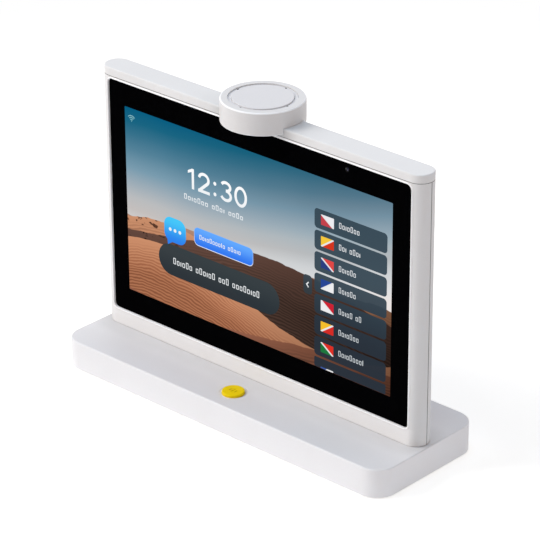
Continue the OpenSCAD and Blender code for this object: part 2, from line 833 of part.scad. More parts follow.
// Bracket of bent sheet: a foot under the base's top and a tongue up into the slab
module stand_bracket() color("#a8abb0") difference() {
  union() {
    translate([-bracket_w / 2, -bracket_d / 2, bracket_z]) cube([bracket_w, bracket_d, bracket_t]);
    translate([-tongue_w / 2, tongue_y, bracket_z]) cube([tongue_w, bracket_t, tongue_top - bracket_z]);
  }
  at_each(bracket_screw_at, bracket_z - over) large_bore(bracket_t + 2 * over);
  for (p = tongue_screw_at)
    rod_y(p[0], p[1], tongue_y - over, tongue_y + bracket_t + over, screw_d + 2 * thread_gap);
}

module bracket_screws() color("silver") {
  at_each(bracket_screw_at, bracket_z) rotate([180, 0, 0]) large_screw(bracket_bore - tip_gap);
}

module tongue_screws() color("silver") {
  for (p = tongue_screw_at) translate([p[0], tongue_y + bracket_t, p[1]]) rotate([-90, 0, 0])
    large_screw(bracket_t + chassis_t + tongue_boss_h - tip_gap);
}

// Chassis plate on the slab's mid-plane, with threaded bosses and spacers on its front
module chassis_plate() color("#b4b8bc") difference() {
  front = -chassis_t / 2;
  union() {
    upright(0, chassis_t / 2, (chassis_low + chassis_high) / 2, chassis_t)
      plan(chassis_w, chassis_high - chassis_low, chassis_r);
    for (p = tongue_screw_at) rod_y(p[0], p[1], front - tongue_boss_h, 0, tongue_boss_d);
    for (p = board_screw_at) rod_y(p[0], p[1], board_y, 0, spacer_d);
  }
  for (p = tongue_screw_at)
    rod_y(p[0], p[1], front - tongue_boss_h - over, chassis_t, screw_d + 2 * thread_gap);
  for (p = concat(board_screw_at, shell_screw_at)) bore_y(p, board_y - over, chassis_t);
  upright(display_ribbon_w * 1.5, chassis_t, main_low - rear_ribbon_drop, 2 * chassis_t)
    square([display_ribbon_w + 2 * ribbon_window_gap, ribbon_window_h], center = true);
  for (x = cap_screw_x) upright(x, chassis_t, chassis_high, 2 * chassis_t)
    square([small_head_d + 3 * chassis_gap, 4 * chassis_gap], center = true);
}

module main_board() color("#17613c") difference() {
  upright(0, board_y, main_z, board_t) plan(main_w, main_h, 2);
  for (p = board_screw_at) bore_y(p, board_front - over, board_y + over);
}

module board_screws() color("silver") {
  for (p = board_screw_at) translate([p[0], board_front, p[1]]) rotate([90, 0, 0])
    small_screw(board_t + spacer_h + chassis_t);
}

// Two pressed-tin shields over the processor and the radio
module rf_shield() color("#c4c6c8") {
  for (s = [-1, 1]) upright(s * shield_x, board_front, main_z, shield_h) plan(shield_w, shield_l, 1);
}

// Bead along the edge of the glass pocket, on the front face
module bead() {
  lift = 0.05;
  edge = fit + bead_r + lift;
  x = glass_w / 2 + edge;
  z = glass_h / 2 + edge;
  r = glass_r + edge;
  translate([0, front_y, glass_z]) rotate([90, 0, 0]) {
    for (s = [-1, 1]) {
      translate([-x + r, s * z, 0]) rotate([0, 90, 0]) cylinder(h = 2 * (x - r), r = bead_r);
      translate([s * x, z - r, 0]) rotate([90, 0, 0]) cylinder(h = 2 * (z - r), r = bead_r);
    }
    for (s = [0, 180]) rotate([0, 0, s]) {
      translate([x - r, z - r, 0]) rotate_extrude(angle = 90) translate([r, 0]) circle(bead_r);
      translate([r - x, z - r, 0]) rotate([0, 0, 90])
        rotate_extrude(angle = 90) translate([r, 0]) circle(bead_r);
    }
  }
}

// Opening inside the ledge, with its corner radius
module ledge_plan() {
  plan(glass_w - 2 * ledge_w, glass_h - 2 * ledge_w, 2);
}

// Groove along the slab's outline, h high from the height z
module outline_groove(z, h) {
  translate([0, 0, z]) linear_extrude(h) difference() {
    square([2 * slab_w, 2 * slab_t], center = true);
    plan(slab_w - 2 * seam_depth, slab_t - 2 * seam_depth, slab_r - seam_depth);
  }
}

// Half shell for the front face, from the mid-plane forward
module half_shell() difference() {
  union() {
    difference() {
      intersection() {
        translate([0, 0, slab_z]) soft_block(slab_w, slab_t, shell_h, slab_r, 0, shell_edge);
        translate([-slab_w, -slab_t, 0]) cube([2 * slab_w, slab_t, 2 * seam_z]);
      }
      translate([0, 0, slab_z + shell_floor_t]) linear_extrude(shell_h - shell_floor_t - roof_t)
        plan(slab_w - 2 * shell_wall, slab_t - 2 * shell_wall, slab_r - shell_wall);
      upright(0, ledge_y, glass_z, slab_t) plan(pocket_w, pocket_h, glass_r + fit);
      upright(0, wall_y + over, glass_z, slab_t) ledge_plan();
    }
    for (p = shell_screw_at) rod_y(p[0], p[1], ledge_y, -chassis_t / 2, small_boss_d);
    bead();
  }
  intersection() {
    outline_groove(slab_z - over, shell_h + 2 * over);
    translate([-slab_w, -seam_w / 2, 0]) cube([2 * slab_w, slab_t, 2 * seam_z]);
  }
  for (x = cap_screw_x) translate([x, -cap_screw_y, seam_z - roof_t - over]) small_bore(roof_t + 2 * over);
  upright(camera_x, wall_y + over, camera_z, slab_t) circle(d = lens_d + 2 * run);
}

module front_shell() color("#e6e5e4") difference() {
  half_shell();
  for (p = shell_screw_at) {
    rod_y(p[0], p[1], front_y - over, ledge_y + shell_head_sink, small_head_d + 2 * fit);
    bore_y(p, front_y, over);
  }
  base_ribbon_slot(slab_z - over, shell_floor_t + 2 * over);
  mic_ribbon_slot(seam_z - roof_t - over, roof_t + 2 * over);
}

module rear_shell() color("#e6e5e4") difference() {
  rear() half_shell();
  for (p = shell_screw_at) bore_y(p, 0, -ledge_y - skin);
  tongue_slot(slab_z - over, shell_floor_t + 2 * over);
}

module shell_screws() color("silver") {
  y0 = ledge_y + shell_head_sink;
  for (p = shell_screw_at) translate([p[0], y0, p[1]]) rotate([90, 0, 0])
    small_screw(-ledge_y - skin - tip_gap - y0);
}

// Adhesive frame between the cover glass and its ledge
module gasket() color("#1c1c1e") difference() {
  upright(0, ledge_y, glass_z, gasket_t) plan(glass_w, glass_h, glass_r);
  upright(0, ledge_y + over, glass_z, gasket_t + 2 * over) ledge_plan();
  upright(camera_x, ledge_y + over, camera_z, gasket_t + 2 * over) circle(d = lens_d + 2 * run);
}

module glass() color("#16181b") {
  upright(0, glass_back, glass_z, glass_t) plan(glass_w, glass_h, glass_r);
}

module panel() color("#31505e") {
  upright(0, light_y, screen_z, panel_t) plan(panel_w, panel_h, 1.5);
}

module backlight() color("#8c9094") {
  upright(0, light_back, screen_z, light_t) plan(light_w, light_h, 1.5);
}

// Camera: lens barrel up to the glass, square body back to the chassis plate
module camera() color("#202226") {
  body_y = light_back - 1;
  upright(camera_x, body_y, camera_z, body_y - glass_back - press_gap) circle(d = lens_d);
  translate([camera_x - camera_body / 2, body_y, camera_z - camera_body / 2])
    cube([camera_body, -chassis_t / 2 - body_y, camera_body]);
}

// Ribbon from the front backlight, across its gap and onto the main board
module front_display_ribbon() color("#b8742a") {
  bend_z = main_low - front_ribbon_drop;
  translate([-display_ribbon_w * 2, 0, bend_z - ribbon_t]) {
    translate([0, light_back, -ribbon_lap]) cube([display_ribbon_w, ribbon_t, ribbon_lap + ribbon_t]);
    translate([0, light_back, 0]) cube([display_ribbon_w, board_front - light_back, ribbon_t]);
    translate([0, ribbon_y, 0]) cube([display_ribbon_w, ribbon_t, front_ribbon_drop + ribbon_lap]);
  }
}

// Ribbon from the rear backlight, through the chassis plate and onto the main board
module rear_display_ribbon() color("#b8742a") {
  bend_z = main_low - rear_ribbon_drop;
  back = -light_back - ribbon_t;
  translate([display_ribbon_w, 0, bend_z - ribbon_t]) {
    translate([0, back, -ribbon_lap]) cube([display_ribbon_w, ribbon_t, ribbon_lap + ribbon_t]);
    translate([0, ribbon_y, 0]) cube([display_ribbon_w, back + ribbon_t - ribbon_y, ribbon_t]);
    translate([0, ribbon_y, 0]) cube([display_ribbon_w, ribbon_t, rear_ribbon_drop + ribbon_lap]);
  }
}

// Ribbon from the main board down into the base and along to the charging board
module base_ribbon() color("#b8742a") {
  x0 = base_ribbon_x - base_ribbon_w / 2;
  x1 = io_x0 + io_w - io_ribbon_in;
  run_z = ceiling_z - base_ribbon_drop - ribbon_t;
  board_side = -main_w / 2;
  translate([x0, ribbon_y, run_z]) cube([base_ribbon_w, ribbon_t, ribbon_land + ribbon_lap - run_z]);
  translate([x0, ribbon_y, ribbon_land]) cube([board_side - x0 + ribbon_lap, ribbon_t, ribbon_lap]);
  translate([x1, ribbon_y, run_z]) cube([x0 + base_ribbon_w - x1, ribbon_lap, ribbon_t]);
  translate([x1, ribbon_y, io_top]) cube([ribbon_t, ribbon_lap, run_z + ribbon_t - io_top]);
}

// Ribbon from the main board up through the cap to the microphone board
module mic_ribbon() color("#b8742a") {
  low = main_z + main_h / 2 - ribbon_lap;
  translate([-mic_ribbon_w / 2, ribbon_y, low]) cube([mic_ribbon_w, ribbon_t, mic_board_z - low]);
}

// Cap over the slab's top, open below, with bosses for the screws from both sides
module top_cap() color("#e8e7ea") {
  cap_screws_at = [for (x = cap_screw_x, s = [-1, 1]) [x, s * cap_screw_y]];
  puck_screws_at = [for (s = [-1, 1]) [s * puck_screw_x, 0]];
  difference() {
    union() {
      difference() {
        translate([0, 0, seam_z]) soft_block(slab_w, slab_t, cap_h, slab_r, cap_edge, 0);
        translate([0, 0, seam_z - over]) linear_extrude(cap_h + over - cap_wall)
          plan(slab_w - 2 * cap_wall, slab_t - 2 * cap_wall, slab_r - cap_wall);
      }
      at_each(concat(cap_screws_at, puck_screws_at), seam_z)
        cylinder(h = cap_h - cap_wall, d = small_boss_d);
    }
    outline_groove(seam_z - over, over + seam_w);
    at_each(cap_screws_at, seam_z - over) small_bore(cap_h + over - skin);
    at_each(puck_screws_at, seam_z + skin) small_bore(cap_h);
    mic_ribbon_slot(seam_z - over, cap_h + 2 * over);
  }
}

module cap_screws() color("silver") {
  for (x = cap_screw_x, s = [-1, 1]) translate([x, s * cap_screw_y, seam_z - roof_t]) rotate([180, 0, 0])
    small_screw(roof_t + cap_h - skin - tip_gap);
}

// Floor of the puck: it sits across the cap and its two lobes hang down in front and behind
module puck_base() color("#d8d7dc") difference() {
  low = puck_bottom + puck_base_sink;
  gap_d = slab_t + 2 * fit;
  union() {
    difference() {
      translate([0, 0, low]) cylinder(h = puck_floor - low, r = puck_base_r);
      translate([-puck_d, -gap_d / 2, low - over]) cube([2 * puck_d, gap_d, cap_top - low + over]);
      translate([0, 0, low + puck_wall]) linear_extrude(puck_d) difference() {
        circle(puck_base_r - puck_wall);
        square([2 * puck_d, gap_d + 2 * puck_wall], center = true);
      }
    }
    at_posts(puck_floor - over) cylinder(h = mic_board_z - puck_floor + over, d = small_boss_d);
  }
  at_posts(mic_board_z - mic_post_bite - tip_gap) small_bore(mic_post_bite + tip_gap + over);
  for (s = [-1, 1]) translate([s * puck_screw_x, 0, cap_top - over]) small_bore(puck_floor_t + 2 * over);
  mic_ribbon_slot(cap_top - over, puck_floor_t + 2 * over);
}

module puck_screws() color("silver") {
  for (s = [-1, 1]) translate([s * puck_screw_x, 0, puck_floor])
    small_screw(puck_floor_t + cap_h - skin - tip_gap);
}

// Wall and rim of the puck, notched on both sides where the cap passes through
module puck_housing() color("#e4e3e8") difference() {
  translate([0, 0, puck_bottom]) soft_disc(puck_d, puck_top - puck_bottom, puck_edge, puck_low_edge);
  translate([0, 0, puck_bottom - over])
    cylinder(h = rim_z - puck_bottom + over, d = puck_d - 2 * puck_wall);
  translate([0, 0, rim_z - over]) cylinder(h = rim_t + 2 * over, d = groove_outer);
  translate([-puck_d, -slab_r - fit, puck_bottom - over])
    cube([2 * puck_d, slab_t + 2 * fit, puck_skirt + over + fit]);
}

// Ring at the bottom of the groove, pierced by the microphone holes
module mic_ring() color("#d4d3d9") difference() {
  union() {
    translate([0, 0, ring_z]) cylinder(h = ring_flange_t, d = puck_d - 2 * puck_wall - 2 * fit);
    translate([0, 0, ring_z]) cylinder(h = puck_top - groove_depth - ring_z, d = groove_outer - 2 * fit);
  }
  translate([0, 0, ring_z - over]) cylinder(h = puck_rise, d = groove_inner - 2 * ring_ledge);
  translate([0, 0, rim_z]) cylinder(h = rim_t + over, d = groove_inner + 2 * fit);
  for (a = [0:90:270]) rotate([0, 0, a]) translate([mic_r, 0, ring_z - over])
    cylinder(h = puck_rise, d = mic_hole_d);
}

module puck_disc() color("#e2e1e7") {
  translate([0, 0, rim_z]) soft_disc(groove_inner, rim_t, groove_edge, 0);
}

module mic_board() color("#1f6b45") difference() {
  translate([0, 0, mic_board_z]) cylinder(h = board_t, d = mic_board_d);
  at_posts(mic_board_z - over) small_bore(board_t + 2 * over);
}

module mic_board_screws() color("silver") {
  at_posts(mic_board_z + board_t) small_screw(board_t + mic_post_bite);
}

module microphones() color("#c0a860") {
  for (a = [0:90:270]) rotate([0, 0, a]) translate([mic_r - mic_w / 2, -mic_l / 2, mic_z])
    cube([mic_w, mic_l, mic_h]);
}

// Rubber seals between the microphones and the ring
module mic_seals() color("#2c2c2e") {
  for (a = [0:90:270]) rotate([0, 0, a]) translate([mic_r, 0, mic_z + mic_h]) difference() {
    cylinder(h = seal_h, d = seal_d);
    translate([0, 0, -over]) cylinder(h = seal_h + 2 * over, d = mic_hole_d);
  }
}

base_shell();
base_cover();
feet();
base_screws();
ballast_plate();
battery();
speaker_box(-speaker_x);  // left_speaker_box
speaker_box(speaker_x);  // right_speaker_box
driver(-speaker_x);  // left_driver
driver(speaker_x);  // right_driver
speaker_screws();
io_board();
io_screws();
usb_c_port();
power_switch();
power_button();
talk_button();  // front_talk_button
rear() talk_button();  // rear_talk_button
talk_spring();  // front_talk_spring
rear() talk_spring();  // rear_talk_spring
switch_board();  // front_switch_board
rear() switch_board();  // rear_switch_board
talk_switch();  // front_talk_switch
rear() talk_switch();  // rear_talk_switch
switch_screws();
stand_bracket();
bracket_screws();
tongue_screws();
chassis_plate();
main_board();
board_screws();
rf_shield();
front_shell();
rear_shell();
shell_screws();
gasket();  // front_gasket
rear() gasket();  // rear_gasket
glass();  // front_glass
rear() glass();  // rear_glass
panel();  // front_panel
rear() panel();  // rear_panel
backlight();  // front_backlight
rear() backlight();  // rear_backlight
camera();  // front_camera
rear() camera();  // rear_camera
front_display_ribbon();
rear_display_ribbon();
base_ribbon();
mic_ribbon();
top_cap();
cap_screws();
puck_base();
puck_screws();
puck_housing();
mic_ring();
puck_disc();
mic_board();
mic_board_screws();
microphones();
mic_seals();
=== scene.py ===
"""Looks of a table-top translator: a slab with a screen on each face, on a low base.

Metres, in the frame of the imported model: the front faces -Y, the table is at z = 0.
"""

import math

import bmesh
import bpy
from mathutils import Matrix, Vector


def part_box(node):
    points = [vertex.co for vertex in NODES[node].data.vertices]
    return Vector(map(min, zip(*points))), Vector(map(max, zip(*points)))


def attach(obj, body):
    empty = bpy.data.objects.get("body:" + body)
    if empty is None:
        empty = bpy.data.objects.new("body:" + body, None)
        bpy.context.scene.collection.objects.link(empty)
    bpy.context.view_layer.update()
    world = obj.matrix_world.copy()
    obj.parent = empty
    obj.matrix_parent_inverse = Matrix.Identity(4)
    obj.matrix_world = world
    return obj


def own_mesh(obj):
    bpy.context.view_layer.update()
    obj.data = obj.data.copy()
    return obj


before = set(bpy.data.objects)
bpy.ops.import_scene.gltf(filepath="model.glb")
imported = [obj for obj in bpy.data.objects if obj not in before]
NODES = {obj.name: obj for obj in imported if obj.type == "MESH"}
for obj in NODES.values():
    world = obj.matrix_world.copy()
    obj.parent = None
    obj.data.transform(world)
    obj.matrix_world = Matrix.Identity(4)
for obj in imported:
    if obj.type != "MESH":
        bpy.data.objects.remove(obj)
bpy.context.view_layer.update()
MM = 0.001
PER_METRE = 1000
HALF_TURN = Matrix.Rotation(math.pi, 4, "Z")
BLACK = (0.0, 0.0, 0.0, 1.0)
WHITE = (1.0, 1.0, 1.0, 1.0)


def box_mm(node):
    """Lowest and highest corner of a node's box, in millimetres."""
    return [PER_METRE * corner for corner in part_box(node)]


# Camera, fitted to the photograph's edges: degrees, metres and millimetres of lens
VIEW_AZIMUTH = 42.667
VIEW_ELEVATION = 25.744
VIEW_ROLL = -0.3
VIEW_TARGET = Vector((0, 0, 0.101))
VIEW_DISTANCE = 1.830344
VIEW_RIGHT = 0.003743
VIEW_UP = -0.006033
VIEW_LENS = 197.97
SENSOR = 36

# World's light on the object
AMBIENT_COLOUR = (0.525, 0.465, 0.445, 1.0)

# Lamps: name, azimuth and elevation in degrees, and colour, which is the light that a white face
# turned to the lamp gives off; then the distance and the side of each, in metres
LAMPS = [
    ("key", -48, 38, (0.575, 0.565, 0.545)),
    ("top", 0, 88, (0.06, 0.15, 0.235)),
    ("rear", 205, 10, (0.12, 0.12, 0.12)),
]
LAMP_DISTANCE = 4.0
LAMP_SIDE = 2.0

# Floor: its side and its shift toward the rear, how far from the middle it turns from matt to
# plain white, in metres, and its two greys
FLOOR_SIDE = 12.0
FLOOR_SHIFT = 2.0
FLOOR_NEAR = 0.36
FLOOR_FAR = 0.75
FLOOR_DARK = (0.79, 0.79, 0.79, 1.0)
FLOOR_PALE = (0.81, 0.81, 0.81, 1.0)

# Light that the floor adds where it is seen, and light that it gives back to the object, which
# fades out between two distances from the middle, in metres
FLOOR_LIFT = 0.5
LIFT_COLOUR = (1.0, 0.96, 0.88, 1.0)
BOUNCE_COLOUR = (0.285, 0.318, 0.345, 1.0)
BOUNCE_NEAR = 0.2
BOUNCE_FAR = 0.45

# Levels in the gap between the display panel and the cover glass, in mm from the middle plane
PANEL_FACE = -box_mm("front_panel")[0].y
GLASS_BACK = -box_mm("front_glass")[1].y
PLATE_LEVEL = PANEL_FACE + 0.03
CARD_LEVEL = PANEL_FACE + 0.07
MARK_LEVEL = PANEL_FACE + 0.11
BORDER_LEVEL = GLASS_BACK + 0.01
SHEET_T = 0.02

# Places on the mouldings, in mm
CAP_FOOT, CAP_TOP = [corner.z for corner in box_mm("top_cap")]
SLAB_END = box_mm("front_shell")[1].x
SLAB_R = box_mm("rear_shell")[1].y
BASE_TOP = box_mm("base_shell")[1].z
PUCK_R = box_mm("puck_housing")[1].x
PUCK_FOOT, PUCK_TOP = [corner.z for corner in box_mm("puck_housing")]
PUCK_EDGE = 1.1
GROOVE_FLOOR = box_mm("mic_ring")[1].z
MIC_HOLE_R = 0.65
MIC_HOLE_OUT = 20.25
KEY_Y = -sum(corner.y for corner in box_mm("front_talk_button")) / 2
KEY_TOP = box_mm("front_talk_button")[1].z
KEY_MARK_R = 5.5

# What is left of a colour in full shade
FULL_SHADE = 0.06

# Grooves, in mm: their width, the soft edge of their shade, and how far in from the slab's
# ends the shade goes
SEAM_W = 0.3
SEAM_SOFT_W = 0.17
SEAM_REACH = 0.8

# Soft shades: how far each reaches, in mm, and how deep it is as a share of full shade
CREASE_NEAR = 1.0
CREASE_FAR = 15.0
CREASE_DEPTH = 0.21
END_DEPTH = 0.155
PUCK_WIDE_W = 34.0
PUCK_WIDE_DEPTH = 0.12
PUCK_CLOSE_W = 12.0
PUCK_CLOSE_DEPTH = 0.06
CAP_FACE_DEPTH = 0.12
MIC_HOLE_SOFT_W = 0.3

# How far in from the slab's end its flat faces turn into the round ends, in radii
ROUND_START = 0.85
ROUND_FULL = 0.3

# Painted highlights: their colour, the width in mm of the one round the glass, and how far the
# bezel under the glass goes toward that colour, as painted light
PAINTED_HIGHLIGHT_COLOUR = (0.99, 0.985, 0.985, 1.0)
GLASS_HIGHLIGHT_W = 1.15
BEZEL_PAINTED_LIGHT = 0.4

# Tongue of the charging port and its contacts, in mm: from the shell's side, from its mouth,
# thickness, and from contact to contact
TONGUE_ASIDE = 1.1
TONGUE_IN = 1.2
TONGUE_T = 1.0
CONTACT_IN = 1.5
CONTACT_PITCH = 0.5

# Plastic: widths of its lumps in mm, drift of its colour, and spread of its roughness
PLASTIC_SLOW = 38
PLASTIC_SHEEN = 9
PLASTIC_DRIFT = 0.02
SHEEN_SPREAD = 0.1

# From conductor to conductor of the ribbons, in mm
CONDUCTOR_PITCH = 0.8

# Coated glass: its index, and the share of light that its coat swallows
COATED_IOR = 1.08
COAT_LOSS = 0.008

# Lit part of the display, its glass and the camera beside it, in mm
PANEL_LOW, PANEL_HIGH = box_mm("front_panel")
GLASS_LOW, GLASS_HIGH = box_mm("front_glass")
GLASS_CORNER = 3.2
LIT_MARGIN_LEFT = 2.0
LIT_MARGIN_RIGHT = 3.4
LIT_MARGIN_Z = 2.25
LIT_CORNER = 0.6
LIT_LEFT = PANEL_LOW.x + LIT_MARGIN_LEFT
LIT_RIGHT = PANEL_HIGH.x - LIT_MARGIN_RIGHT
LIT_BOTTOM = PANEL_LOW.z + LIT_MARGIN_Z
LIT_TOP = PANEL_HIGH.z - LIT_MARGIN_Z
LENS_LOW, LENS_HIGH = box_mm("front_camera")
LENS_X = (LENS_LOW.x + LENS_HIGH.x) / 2
LENS_Z = (LENS_LOW.z + LENS_HIGH.z) / 2
LENS_WINDOW_R = 1.6


class Nodes:
    """Adds nodes to a tree. A value is a socket or a constant."""

    def __init__(self, tree):
        self.tree = tree

    def put(self, socket, value):
        """Links an output to a socket, or sets its constant."""
        if isinstance(value, bpy.types.NodeSocket):
            self.tree.links.new(value, socket)
        else:
            socket.default_value = value

    def node(self, kind, inputs=None, **settings):
        """New node of that kind, with its settings and its inputs set."""
        made = self.tree.nodes.new(kind)
        for key, value in settings.items():
            setattr(made, key, value)
        for key, value in (inputs or {}).items():
            self.put(made.inputs[key], value)
        return made

    def math(self, operation, *values, clamp=False):
        """Result of one math node; clamp keeps it from 0 to 1."""
        made = self.node("ShaderNodeMath", dict(enumerate(values)), operation=operation)
        made.use_clamp = clamp
        return made.outputs[0]

    def chain(self, operation, first, *others):
        """The operation on the first two values, then on that and the third, and so on."""
        for other in others:
            first = self.math(operation, first, other)
        return first

    def plus(self, *values):
        """Sum of the values."""
        return self.chain("ADD", *values)

    def times(self, *values):
        """Product of the values."""
        return self.chain("MULTIPLY", *values)

    def most(self, *values):
        """Greatest of the values."""
        return self.chain("MAXIMUM", *values)

    def minus(self, first, second, clamp=False):
        """The first value less the second."""
        return self.math("SUBTRACT", first, second, clamp=clamp)

    def over(self, first, second, clamp=False):
        """The first value divided by the second."""
        return self.math("DIVIDE", first, second, clamp=clamp)

    def magnitude(self, value):
        """The value without its sign."""
        return self.math("ABSOLUTE", value)

    def length(self, *parts):
        """Length of a vector of those parts."""
        return self.math("SQRT", self.plus(*[self.times(part, part) for part in parts]))

    def mix(self, share, first, second):
        """Shader between two others."""
        inputs = {"Fac": share, 1: first.outputs[0], 2: second.outputs[0]}
        return self.node("ShaderNodeMixShader", inputs)


class Paint(Nodes):
    """Builds one material out of nodes. Lengths are in millimetres of the object."""

    def __init__(self, name):
        self.material = bpy.data.materials.new(name)
        self.material.use_nodes = True
        super().__init__(self.material.node_tree)
        self.shader = self.tree.nodes["Principled BSDF"]
        self.output = self.tree.nodes["Material Output"]
        self.place = self.node("ShaderNodeTexCoord").outputs["Object"]
        axes = self.node("ShaderNodeSeparateXYZ", {"Vector": self.place}).outputs
        self.x, self.y, self.z = [self.times(axis, PER_METRE) for axis in axes]

    def span(self, value, low, high):
        """0 below low, 1 above high, smooth between."""
        inputs = {"Value": value, "From Min": low, "From Max": high}
        made = self.node("ShaderNodeMapRange", inputs, interpolation_type="SMOOTHSTEP")
        return made.outputs["Result"]

    def noise(self, size, detail=2.0, stretch=(1, 1, 1), bend=0.0):
        """Noise from 0 to 1 whose lumps are about that many millimetres wide."""
        scale = [PER_METRE / size * share for share in stretch]
        where = self.node("ShaderNodeVectorMath", {0: self.place, 1: scale}, operation="MULTIPLY")
        inputs = {"Vector": where.outputs[0], "Scale": 1.0, "Detail": detail, "Distortion": bend}
        return self.node("ShaderNodeTexNoise", inputs).outputs["Fac"]

    def cells(self, width, randomness, **settings):
        """Distance in a pattern of cells about that many millimetres wide."""
        inputs = {"Vector": self.place, "Scale": PER_METRE / width, "Randomness": randomness}
        return self.node("ShaderNodeTexVoronoi", inputs, **settings).outputs["Distance"]

    def ramp(self, value, stops, interpolation="LINEAR"):
        """Colour at value, from (position, colour) stops."""
        made = self.node("ShaderNodeValToRGB", {"Fac": value})
        elements = made.color_ramp.elements
        made.color_ramp.interpolation = interpolation
        while len(elements) < len(stops):
            elements.new(1.0)
        for element, (position, colour) in zip(elements, stops):
            element.position = position
            element.color = colour
        return made.outputs["Color"]

    def blend(self, share, first, second, how="MIX"):
        """Colour that goes from the first to the second, or joins them in another way."""
        made = self.node("ShaderNodeMix", data_type="RGBA", blend_type=how)
        for key, value in zip(("Factor_Float", "A_Color", "B_Color"), (share, first, second)):
            self.put(next(s for s in made.inputs if s.identifier == key), value)
        return next(s for s in made.outputs if s.identifier == "Result_Color")

    def tint(self, first, second):
        """Product of two colours."""
        return self.blend(1.0, first, second, "MULTIPLY")

    def relief(self, height, depth):
        """Bump of that depth in millimetres where height is 1."""
        inputs = {"Height": height, "Distance": depth * MM, "Strength": 1.0}
        self.put(self.shader.inputs["Normal"], self.node("ShaderNodeBump", inputs).outputs["Normal"])

    def surface(self, **values):
        """Sets sockets of the shader; an underscore stands for a space."""
        for key, value in values.items():
            self.put(self.shader.inputs[key.replace("_", " ")], value)
        return self.material

    def finish_with(self, shader):
        """Sends another shader to the output."""
        self.put(self.output.inputs["Surface"], shader.outputs[0])
        return self.material


def tone(red, green, blue):
    """Linear colour of a screen colour, whose channels go from 0 to 255."""
    channels = [c / 255 for c in (red, green, blue)]
    linear = [c / 12.92 if c < 0.04045 else ((c + 0.055) / 1.055) ** 2.4 for c in channels]
    return (*linear, 1.0)


def tinted(colour, factor):
    """The colour, with its channels multiplied."""
    return (*[min(1.0, c * factor) for c in colour[:3]], 1.0)


def plastic(name, colour, rough, grain=0.5, depth=0.004, painted_shade=None, rim=None):
    """Moulded plastic: spark-eroded grain, slow drift of colour and of sheen.

    Painted shade comes from a function that gives 1 in the narrow gaps where no light gets in, less
    in softer shade, and 0 elsewhere; painted highlights come from one that gives up to 1 on paler
    places.
    """
    p = Paint(name)
    slow = p.noise(PLASTIC_SLOW, 3)
    fine = p.noise(grain, 2)
    dark, pale = tinted(colour, 1 - PLASTIC_DRIFT), tinted(colour, 1 + PLASTIC_DRIFT / 2)
    body = p.ramp(slow, [(0.3, dark), (0.7, pale)])
    flecks = p.ramp(fine, [(0.35, tinted(WHITE, 1 - PLASTIC_DRIFT)), (0.6, WHITE)])
    body = p.tint(body, flecks)
    if rim:
        body = p.blend(rim(p), body, PAINTED_HIGHLIGHT_COLOUR)
    if painted_shade:
        body = p.blend(painted_shade(p), body, tinted(colour, FULL_SHADE))
    drift = p.times(p.noise(PLASTIC_SHEEN, 3), SHEEN_SPREAD)
    p.relief(fine, depth)
    sheen = p.plus(rough - SHEEN_SPREAD / 2, drift)
    return p.surface(Base_Color=body, Roughness=sheen, Specular_IOR_Level=0.5)


def inside(p, value, low, high, soft=0.02):
    """1 between low and high, 0 outside."""
    return p.times(p.span(value, low - soft, low), p.span(value, high + soft, high))


def cap_painted_shade(p):
    """Painted shade in the parting groove under the cap, and soft painted shade on the cap beside
    the puck.
    """
    out = p.length(p.x, p.y)
    wide = p.times(p.span(out, PUCK_R + PUCK_WIDE_W, PUCK_R), PUCK_WIDE_DEPTH)
    face = p.times(p.span(p.z, CAP_TOP - 0.5, CAP_TOP - 1.5), CAP_FACE_DEPTH)
    depth = p.plus(face, PUCK_CLOSE_DEPTH)
    close = p.times(p.span(out, PUCK_R + PUCK_CLOSE_W, PUCK_R), depth)
    groove = inside(p, p.z, CAP_FOOT + 0.01, CAP_FOOT + SEAM_W - 0.03)
    return p.most(groove, p.plus(wide, close))


def on_round_end(p):
    """1 on the slab's round ends, 0 on its flat faces."""
    start, full = SLAB_END - ROUND_START * SLAB_R, SLAB_END - ROUND_FULL * SLAB_R
    return p.span(p.magnitude(p.x), start, full)


def slab_painted_shade(p):
    """Painted shade in the groove between the half shells and on the ledge under the cap, and on the
    ends, deeper downward.
    """
    near = p.span(p.magnitude(p.y), SEAM_W / 2 + SEAM_SOFT_W, SEAM_W / 2 - 0.01)
    end = p.span(p.magnitude(p.x), SLAB_END - SEAM_REACH - 0.1, SLAB_END - SEAM_REACH)
    groove = p.times(near, end, p.span(p.z, BASE_TOP + 0.2, BASE_TOP + 0.4))
    dark = p.most(groove, p.span(p.z, CAP_FOOT - 0.03, CAP_FOOT - 0.01))
    lower = p.times(p.span(p.z, CAP_FOOT, BASE_TOP), END_DEPTH)
    return p.most(dark, p.times(on_round_end(p), lower))


def slab_crease(p):
    """How much darker the base is near the slab's foot, where less light comes in."""
    beyond = p.most(p.minus(p.magnitude(p.x), SLAB_END - SLAB_R), 0.0)
    out = p.minus(p.length(beyond, p.y), SLAB_R)
    on_top = p.times(p.span(p.z, BASE_TOP - 1.0, BASE_TOP - 0.2), CREASE_DEPTH)
    return p.times(p.span(out, CREASE_FAR, CREASE_NEAR), on_top)


def glass_painted_highlight(p):
    """Painted highlight on the half shells' edge round the cover glass, and painted light on the
    bezel under it.
    """
    beyond = []
    for axis, low, high in ((p.x, GLASS_LOW.x, GLASS_HIGH.x), (p.z, GLASS_LOW.z, GLASS_HIGH.z)):
        off = p.magnitude(p.minus(axis, (low + high) / 2))
        beyond.append(p.most(p.minus(off, (high - low) / 2 - GLASS_CORNER), 0.0))
    out = p.minus(p.length(*beyond), GLASS_CORNER)
    flat = p.minus(1.0, on_round_end(p))
    bezel = p.times(p.span(p.z, GLASS_LOW.z + 0.5, GLASS_LOW.z - 0.5), BEZEL_PAINTED_LIGHT)
    return p.most(p.span(out, GLASS_HIGHLIGHT_W + 0.2, GLASS_HIGHLIGHT_W), p.times(flat, bezel))


